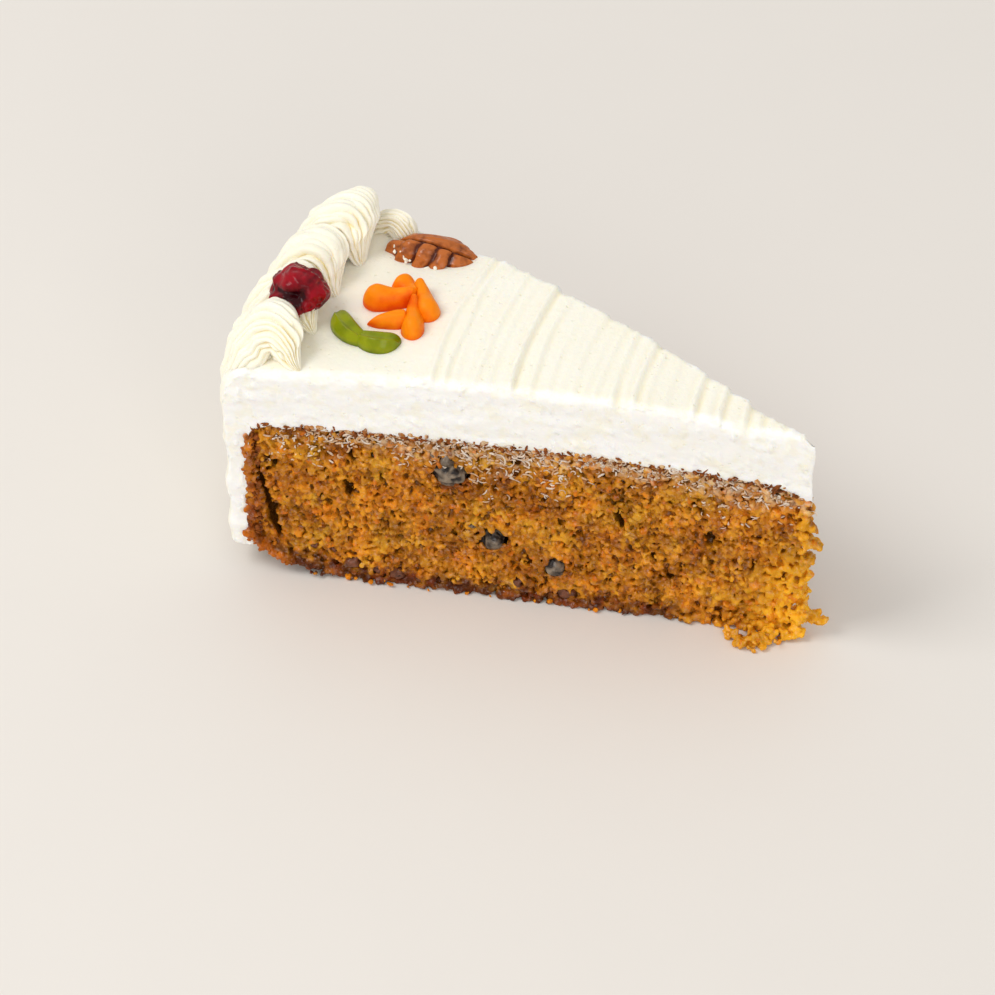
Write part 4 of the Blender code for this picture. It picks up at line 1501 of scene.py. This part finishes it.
def petal_shape(inner, outer, half_width, rise, run):
    """The surface of one petal: a soft tent, high at the middle of the flower and at its outer end."""
    start, end = Vector(on_slice(*inner, 0)), Vector(on_slice(*outer, 0))
    way = (end - start).normalized()
    side = Vector((-way.y, way.x, 0))
    reach = (end - start).length
    widths = tuple((share, width) for share, width, _ in run)
    heights = tuple((share, height) for share, _, height in run)

    def shape(u, v):
        t = (1 - np.cos(math.pi * u)) / 2
        closing = np.sqrt(1 - (1 - np.clip(t / 0.10, 0, 1)) ** 2)
        closing = closing * np.sqrt(1 - np.clip((t - 0.70) / 0.30, 0, 1) ** 2.5)
        a = 2 * math.pi * v
        across = half_width * outline(widths, t) * closing * np.sign(np.cos(a)) * np.abs(np.cos(a)) ** 0.85
        lift = np.sin(a)
        roof = np.where(lift > 0, rise * np.abs(lift) ** 1.35, lift)
        height = PETAL_BASE + roof * outline(heights, t) * closing
        return np.column_stack((
            start.x + way.x * reach * t + side.x * across,
            start.y + way.y * reach * t + side.y * across,
            height,
        ))

    return shape


class CAKE_OT_flower(bpy.types.Operator):
    """Five sugar petals pressed together"""

    bl_idname = "cake.flower"
    bl_label = "Flower"

    def execute(self, context):
        chosen = settings("cake_toppings")
        material = skin_material("pressed_orange_sugar_paste", chosen.orange_deep, chosen.orange_light)
        middle = np.array(on_slice(*FLOWER_MIDDLE, PETAL_BASE))
        for number, sizes in enumerate(PETALS, start=1):
            piece = draped_grid(f"sugar_petal_{number}", *PETAL_GRID, petal_shape(*sizes))
            points = coordinates(piece.data)
            # Painted shade where the petals meet at the middle and low down, painted light on their high
            # tops.
            away = np.hypot(*(points[:, :2] - middle[:2]).T)
            low = smooth((PETAL_BASE + 2.2 - points[:, 2]) / 2.5)
            high = smooth((points[:, 2] - PETAL_BASE - 2.6) / 2.0)
            crease = 0.5 * smooth(1 - away / 3.5) + 0.35 * low - 0.18 * high - 0.12
            point_attribute(piece.data, "crease", crease)
            roughen(piece, "paste", 2.6, 0.18)
            finished(piece, "orange_sugar", material, f"flower_petal_{number}")
        return {"FINISHED"}


def leaf_shape(back, across, direction, reach, half_width, bow, blunt):
    """The surface of one leaf: a bowed lens with a ridge along its lower side."""
    turn = math.radians(direction)
    way, side = (math.cos(turn), math.sin(turn)), (-math.sin(turn), math.cos(turn))
    middle = on_slice(back, across, 0)

    def shape(u, v):
        t = -np.cos(math.pi * u)
        roundness = np.where(t * blunt > 0, 3.2, 1.9)
        wide = np.sqrt(np.maximum(1 - np.abs(t) ** roundness, 0)) * (0.84 + 0.16 * t * blunt)
        a = 2 * math.pi * v
        out = np.cos(a)
        offset = half_width * wide * out + bow * (1 - t * t) - bow * 0.5
        lift = np.sin(a)
        ridge = 0.20 * np.exp(-(((out + 0.50) / 0.15) ** 2))
        ridge -= 0.10 * np.exp(-(((out - 0.05) / 0.35) ** 2))
        height = np.where(lift > 0, lift**0.7 * (1 + ridge), lift * 0.35) * LEAF_RISE * wide
        along = reach / 2 * t
        return np.column_stack((
            middle.x + way[0] * along + side[0] * offset,
            middle.y + way[1] * along + side[1] * offset,
            LEAF_BASE + height,
        ))

    return shape


class CAKE_OT_leaves(bpy.types.Operator):
    """Two sugar leaves beside the flower"""

    bl_idname = "cake.leaves"
    bl_label = "Leaves"

    def execute(self, context):
        chosen = settings("cake_toppings")
        material = skin_material("pressed_green_sugar_paste", chosen.green_deep, chosen.green_light)
        for number, sizes in enumerate(LEAVES, start=1):
            piece = draped_grid(f"sugar_leaf_{number}", *LEAF_GRID, leaf_shape(*sizes))
            # Painted shade: darker low down, towards the sugar's base.
            low = smooth((LEAF_BASE + 1.2 - coordinates(piece.data)[:, 2]) / 1.6)
            point_attribute(piece.data, "crease", 0.4 * low - 0.05)
            roughen(piece, "paste", 2.4, 0.12)
            finished(piece, "green_sugar", material, f"leaf_{number}")
        return {"FINISHED"}


class CAKE_OT_nuts(bpy.types.Operator):
    """Nut pieces that the front cut bared"""

    bl_idname = "cake.nuts"
    bl_label = "Nuts"

    def execute(self, context):
        chosen = settings("cake_toppings")
        for number, node in enumerate(NUT_NODES, start=1):
            piece, way = ball(f"walnut_piece_{number}", 5)
            wrinkle = 1 - np.abs(cloud(way, 0.6, 70 + number)) * 1.8
            girth = 0.84 + 0.24 * cloud(way, 0.8, 73 + number) + 0.14 * wrinkle
            girth += 0.06 * cloud(way, 0.25, 77)
            middle, half = middle_and_half(node)
            middle[1] += NUT_SINK - half[1]
            half[1] = NUT_HALF_DEPTH
            set_coordinates(piece.data, middle + way * girth[:, None] * half)
            # Darker in the wrinkles of the skin and in patches, with painted shade in the hollows.
            dark = 0.5 * smooth(0.5 - 0.6 * wrinkle) + 0.3 * hollows(piece.data, 4)
            dark += 0.15 * cloud(way, 0.6, 78) + NUT_SHADES[number - 1]
            point_attribute(piece.data, "crease", dark)
            material = skin_material("soaked_walnut", chosen.nut_deep, chosen.nut_light, f"_{number}")
            finished(piece, "nut", material, node)
        return {"FINISHED"}


# ---------------------------------------------------------------- crumbs and smears

# Chips of crust: along the top of the sponge, some gathered round these radii, and up the wall.
TOP_CHIPS = 360
CHIP_CLUSTERS = (9.0, 26.0, 58.0, 112.0)
WALL_CHIPS = 50

# Loose crumbs, and dabs of frosting on the pecan.
CRUMBS = 40
DABS = 10

# Curls of dragged frosting: how many, and the rings and sides of each.
CURLS = 1600
CURL_RINGS, CURL_SIDES = 7, 5


def scatter(name, places, detail, roughness, seed):
    """Many small lumps as one mesh: places are (centre, radii) in millimetres."""
    rng = np.random.default_rng(seed)
    lump, way = ball(name, detail)
    faces = np.array([face.vertices[:] for face in lump.data.polygons])
    points, all_faces, tones = [], [], []
    for number, (centre, radii) in enumerate(places):
        girth = 1 + roughness * cloud(way + 3.1 * number, 0.7, seed)
        points.append((way * girth[:, None] * radii) @ random_turn(rng).T + centre)
        all_faces.append(faces + number * len(way))
        tones.append(np.full(len(way), rng.random()))
    bpy.data.objects.remove(lump)
    piece = joined(name, np.concatenate(points).tolist(), np.concatenate(all_faces).tolist())
    point_attribute(piece.data, "tone", np.concatenate(tones))
    return piece


class CAKE_OT_bits(bpy.types.Operator):
    """Small bits of nut and raisin, chips of dark crust, and loose crumbs"""

    bl_idname = "cake.bits"
    bl_label = "Bits and crumbs"

    def execute(self, context):
        sponge, toppings = settings("cake_sponge"), settings("cake_toppings")
        rng = np.random.default_rng(81)
        for name, places, deep, light in (
            ("raisin_bits", RAISINS, toppings.raisin_deep, toppings.raisin_light),
            ("walnut_bits", WALNUTS, toppings.nut_deep, toppings.nut_light),
        ):
            bits = [
                (under_cut(-1, radius, height, 0.75 * size), size * rng.uniform(0.75, 1.05, 3))
                for radius, height, size in places
            ]
            piece = scatter(name, bits, 4, 0.45, 82)
            # Painted shade in the hollows of the bits.
            point_attribute(piece.data, "crease", 0.4 * hollows(piece.data, 3))
            material = skin_material(f"soaked_{name}", deep, light)
            finished(piece, "nut", material)

        chips = []
        for number in range(TOP_CHIPS):
            side = -1 if number % 5 < 3 else 1
            if number % 3:
                radius = rng.uniform(1.0, SPONGE_RADIUS - 1.0)
            else:
                radius = rng.choice(CHIP_CLUSTERS) + rng.normal(0, 4)
            height = float(sponge_top(radius)) - 0.55 + rng.normal(0, 0.35) - abs(rng.normal(0, 0.5))
            radii = rng.uniform(0.5, 1.3) * np.array((rng.uniform(0.5, 1.2), 0.35, rng.uniform(0.2, 0.45)))
            chips.append((under_cut(side, radius, height, rng.uniform(0.0, 0.4)), radii))
        for _ in range(WALL_CHIPS):
            height = rng.uniform(8, 40)
            radii = rng.uniform(0.25, 0.8, 3)
            radius = SPONGE_RADIUS - rng.uniform(0.4, 3.0)
            chips.append((under_cut(-1, radius, height, rng.uniform(0.1, 0.5)), radii))
        piece = scatter("crust_chips", chips, 2, 0.5, 83)
        point_attribute(piece.data, "crease", np.zeros(len(piece.data.vertices)))
        material = skin_material("baked_crust_chips", sponge.pit, sponge.crust_light)
        finished(piece, "sponge", material)

        crumbs = []
        for number in range(CRUMBS):
            side = -1 if number % 4 else 1
            size = rng.uniform(0.2, 0.6)
            radius = 4 + 112 * rng.beta(0.8, 1.2)
            low = float(sponge_base(radius)) * rng.uniform(0, 1)
            spot = under_cut(side, radius, low + size * 1.5, 0.1 - abs(rng.normal(0, 0.5)))
            crumbs.append((spot, size * rng.uniform(0.6, 1.4, 3)))
        piece = scatter("loose_crumbs", crumbs, 3, 0.4, 84)
        point_attribute(piece.data, "crease", np.zeros(len(piece.data.vertices)))
        material = skin_material("loose_carrot_crumb", sponge.crumb_brown, sponge.crumb_orange)
        finished(piece, "sponge", material)
        return {"FINISHED"}


def curl(start, turn, reach, bend, half_width):
    """Points and faces of one thin curl of frosting; start is (side, radius, height, depth)."""
    side, radius, height, depth = start
    rings, sides = CURL_RINGS, CURL_SIDES
    points, faces = [], []
    for k in range(rings + 1):
        share = k / rings
        heading = turn + bend * (share - 0.5)
        if k:
            radius += math.cos(heading) * reach / rings
            height += math.sin(heading) * reach / rings
            height = min(height, float(sponge_top(min(max(radius, 0), SPONGE_RADIUS))) - 0.3)
        girth = half_width * math.sqrt(max(1 - (2 * share - 1) ** 4, 0.04))
        for j in range(sides):
            a = 2 * math.pi * j / sides
            out = girth * math.cos(a)
            spot = (radius - math.sin(heading) * out, height + math.cos(heading) * out)
            points.append(under_cut(side, *spot, depth - girth * math.sin(a)))
    for k in range(rings):
        for j in range(sides):
            low, high = k * sides + j, k * sides + (j + 1) % sides
            faces.append((low, high, high + sides, low + sides))
    faces.append(tuple(range(sides))[::-1])
    faces.append(tuple(range(rings * sides, (rings + 1) * sides)))
    return points, faces


class CAKE_OT_dabs(bpy.types.Operator):
    """Little dabs of frosting that cling to the pecan and lap over its lower edge"""

    bl_idname = "cake.dabs"
    bl_label = "Frosting dabs"

    def execute(self, context):
        chosen = settings("cake_frosting")
        rng = np.random.default_rng(95)
        places = []
        cos_turn, sin_turn = math.cos(PECAN_TURN), math.sin(PECAN_TURN)
        for _ in range(DABS):
            a = math.radians(rng.uniform(180, 300))
            x = PECAN_SIZE[0] * math.cos(a) * rng.uniform(0.86, 1.02)
            y = PECAN_SIZE[1] * math.sin(a) * rng.uniform(0.86, 1.04)
            back = PECAN[0] - (x * cos_turn - y * sin_turn)
            across = PECAN[1] + x * sin_turn + y * cos_turn
            height = PECAN[2] + rng.uniform(0.3, 2.0) + 1.6 * (x < 0) * rng.random()
            size = rng.uniform(0.18, 0.5)
            radii = size * rng.uniform((0.8, 0.6, 0.4), (1.8, 1.2, 0.8))
            places.append((np.array(on_slice(back, across, height)), radii))
        piece = scatter("frosting_dabs", places, 3, 0.4, 96)
        point_attribute(piece.data, "crease", np.full(len(piece.data.vertices), 0.1))
        material = cream_material(
            "clinging_frosting_dabs", chosen.cream, chosen.crease, pore_size=1.2, pore_depth=0.1
        )
        finished(piece, "frosting", material)
        return {"FINISHED"}


class CAKE_OT_curls(bpy.types.Operator):
    """Thin curls of frosting that the knife dragged over the crumb"""

    bl_idname = "cake.curls"
    bl_label = "Frosting curls"

    def execute(self, context):
        chosen = settings("cake_frosting")
        rng = np.random.default_rng(91)
        points, faces, warmth = [], [], []
        for number in range(CURLS):
            side = -1 if number % 5 < 3 else 1
            radius = 1 + 119 * rng.beta(1.25, 1.2)
            reach_down = 6.0 + 2.5 * math.sin(0.11 * radius + 0.4) + 1.5 * math.sin(0.37 * radius)
            height = float(sponge_top(radius)) - 0.3 - min(rng.gamma(1.6, 0.42), 1.8) * reach_down
            turn = rng.normal(0, 0.9) + math.pi * (rng.random() < 0.5)
            start = (side, radius, height, rng.uniform(-0.08, 0.42))
            one, its_faces = curl(
                start, turn, rng.gamma(3.0, 0.38) + 0.3, rng.normal(0, 2.2), rng.uniform(0.12, 0.27)
            )
            warmth += [rng.random()] * len(one)
            faces += [tuple(k + len(points) for k in face) for face in its_faces]
            points += one
        piece = joined("frosting_curls", points, faces)
        point_attribute(piece.data, "crease", np.array(warmth) ** 1.1 * 0.85)
        material = cream_material(
            "dragged_frosting_smear", chosen.smear, chosen.oiled, pore_size=1.2, pore_depth=0.1
        )
        finished(piece, "frosting", material)
        return {"FINISHED"}


# ---------------------------------------------------------------- stage

# Lights, as (name, place and width in metres), aimed at the slice.
LIGHTS = (("key", (-0.75, -0.55, 1.25), 0.7), ("fill", (0.9, -1.3, 0.8), 1.0))

# The camera's place and the point that it looks at, in millimetres.
CAMERA_SPOT = Vector((367.72, -803.25, 857.5))
CAMERA_TARGET = Vector((-14.78, 12.65, 0.0))


class CAKE_OT_stage(bpy.types.Operator):
    """Plain floor, soft lights and the camera"""

    bl_idname = "cake.stage"
    bl_label = "Stage"

    def execute(self, context):
        chosen = settings("cake_stage")
        floor = added(bpy.ops.mesh.primitive_plane_add, "floor", size=6)
        material, tree, shader = new_material("matt_painted_board", Roughness=0.6)
        place = add(tree, "ShaderNodeTexCoord")
        grain = add(tree, "ShaderNodeTexNoise", {"Vector": place.outputs["Object"], "Scale": 1 / (25 * MM)})
        darker = [c * 0.985 for c in chosen.floor[:3]] + [1.0]
        shades = {"Factor": grain.outputs["Fac"], 6: chosen.floor, 7: darker}
        tint = add(tree, "ShaderNodeMix", shades, data_type="RGBA")
        feed(tree, shader, Base_Color=tint.outputs[2])
        floor.data.materials.append(material)
        world = bpy.data.worlds.new("studio")
        world.use_nodes = True
        background = world.node_tree.nodes["Background"]
        background.inputs["Color"].default_value = (1.0, 1.0, 1.0, 1.0)
        background.inputs["Strength"].default_value = chosen.sky
        context.scene.world = world
        for name, spot, size in LIGHTS:
            light = bpy.data.lights.new(name, "AREA")
            light.shape = "SQUARE"
            light.size = size
            light.energy = getattr(chosen, name)
            lamp = bpy.data.objects.new(name, light)
            lamp.location = spot
            lamp.rotation_euler = (-Vector(spot)).to_track_quat("-Z", "Y").to_euler()
            context.collection.objects.link(lamp)
        view = bpy.data.cameras.new("camera")
        view.lens = chosen.focal
        view.sensor_width = 36.0
        view.clip_end = 20.0
        camera = bpy.data.objects.new("camera", view)
        camera.location = CAMERA_SPOT * MM
        camera.rotation_euler = (CAMERA_TARGET * MM - camera.location).to_track_quat("-Z", "Y").to_euler()
        context.collection.objects.link(camera)
        context.scene.camera = camera
        context.scene.view_settings.view_transform = "Standard"
        return {"FINISHED"}


class CAKE_PT_panel(bpy.types.Panel):
    """Builds the slice piece by piece"""

    bl_label = "Carrot cake slice"
    bl_idname = "CAKE_PT_panel"
    bl_space_type = "VIEW_3D"
    bl_region_type = "UI"
    bl_category = "Cake"

    def draw(self, context):
        for name, group in GROUPS.items():
            box = self.layout.box()
            box.label(text=group.__doc__)
            for key in group.__annotations__:
                box.prop(getattr(context.scene, name), key)
        for operator in OPERATORS:
            self.layout.operator(operator.bl_idname)


GROUPS = {
    "cake_sponge": CakeSpongeSettings,
    "cake_frosting": CakeFrostingSettings,
    "cake_toppings": CakeToppingSettings,
    "cake_stage": CakeStageSettings,
}
OPERATORS = (
    CAKE_OT_sponge,
    CAKE_OT_frosting,
    CAKE_OT_swirls,
    CAKE_OT_berry,
    CAKE_OT_pecan,
    CAKE_OT_flower,
    CAKE_OT_leaves,
    CAKE_OT_nuts,
    CAKE_OT_bits,
    CAKE_OT_dabs,
    CAKE_OT_curls,
    CAKE_OT_stage,
)
CLASSES = (*GROUPS.values(), *OPERATORS, CAKE_PT_panel)


def register():
    for cls in CLASSES:
        bpy.utils.register_class(cls)
    for name, group in GROUPS.items():
        setattr(bpy.types.Scene, name, bpy.props.PointerProperty(type=group))


def unregister():
    for name in GROUPS:
        delattr(bpy.types.Scene, name)
    for cls in reversed(CLASSES):
        bpy.utils.unregister_class(cls)


def main():
    """Build the whole slice."""
    register()
    for operator in OPERATORS:
        group, name = operator.bl_idname.split(".")
        getattr(getattr(bpy.ops, group), name)()


if __name__ == "__main__":
    main()
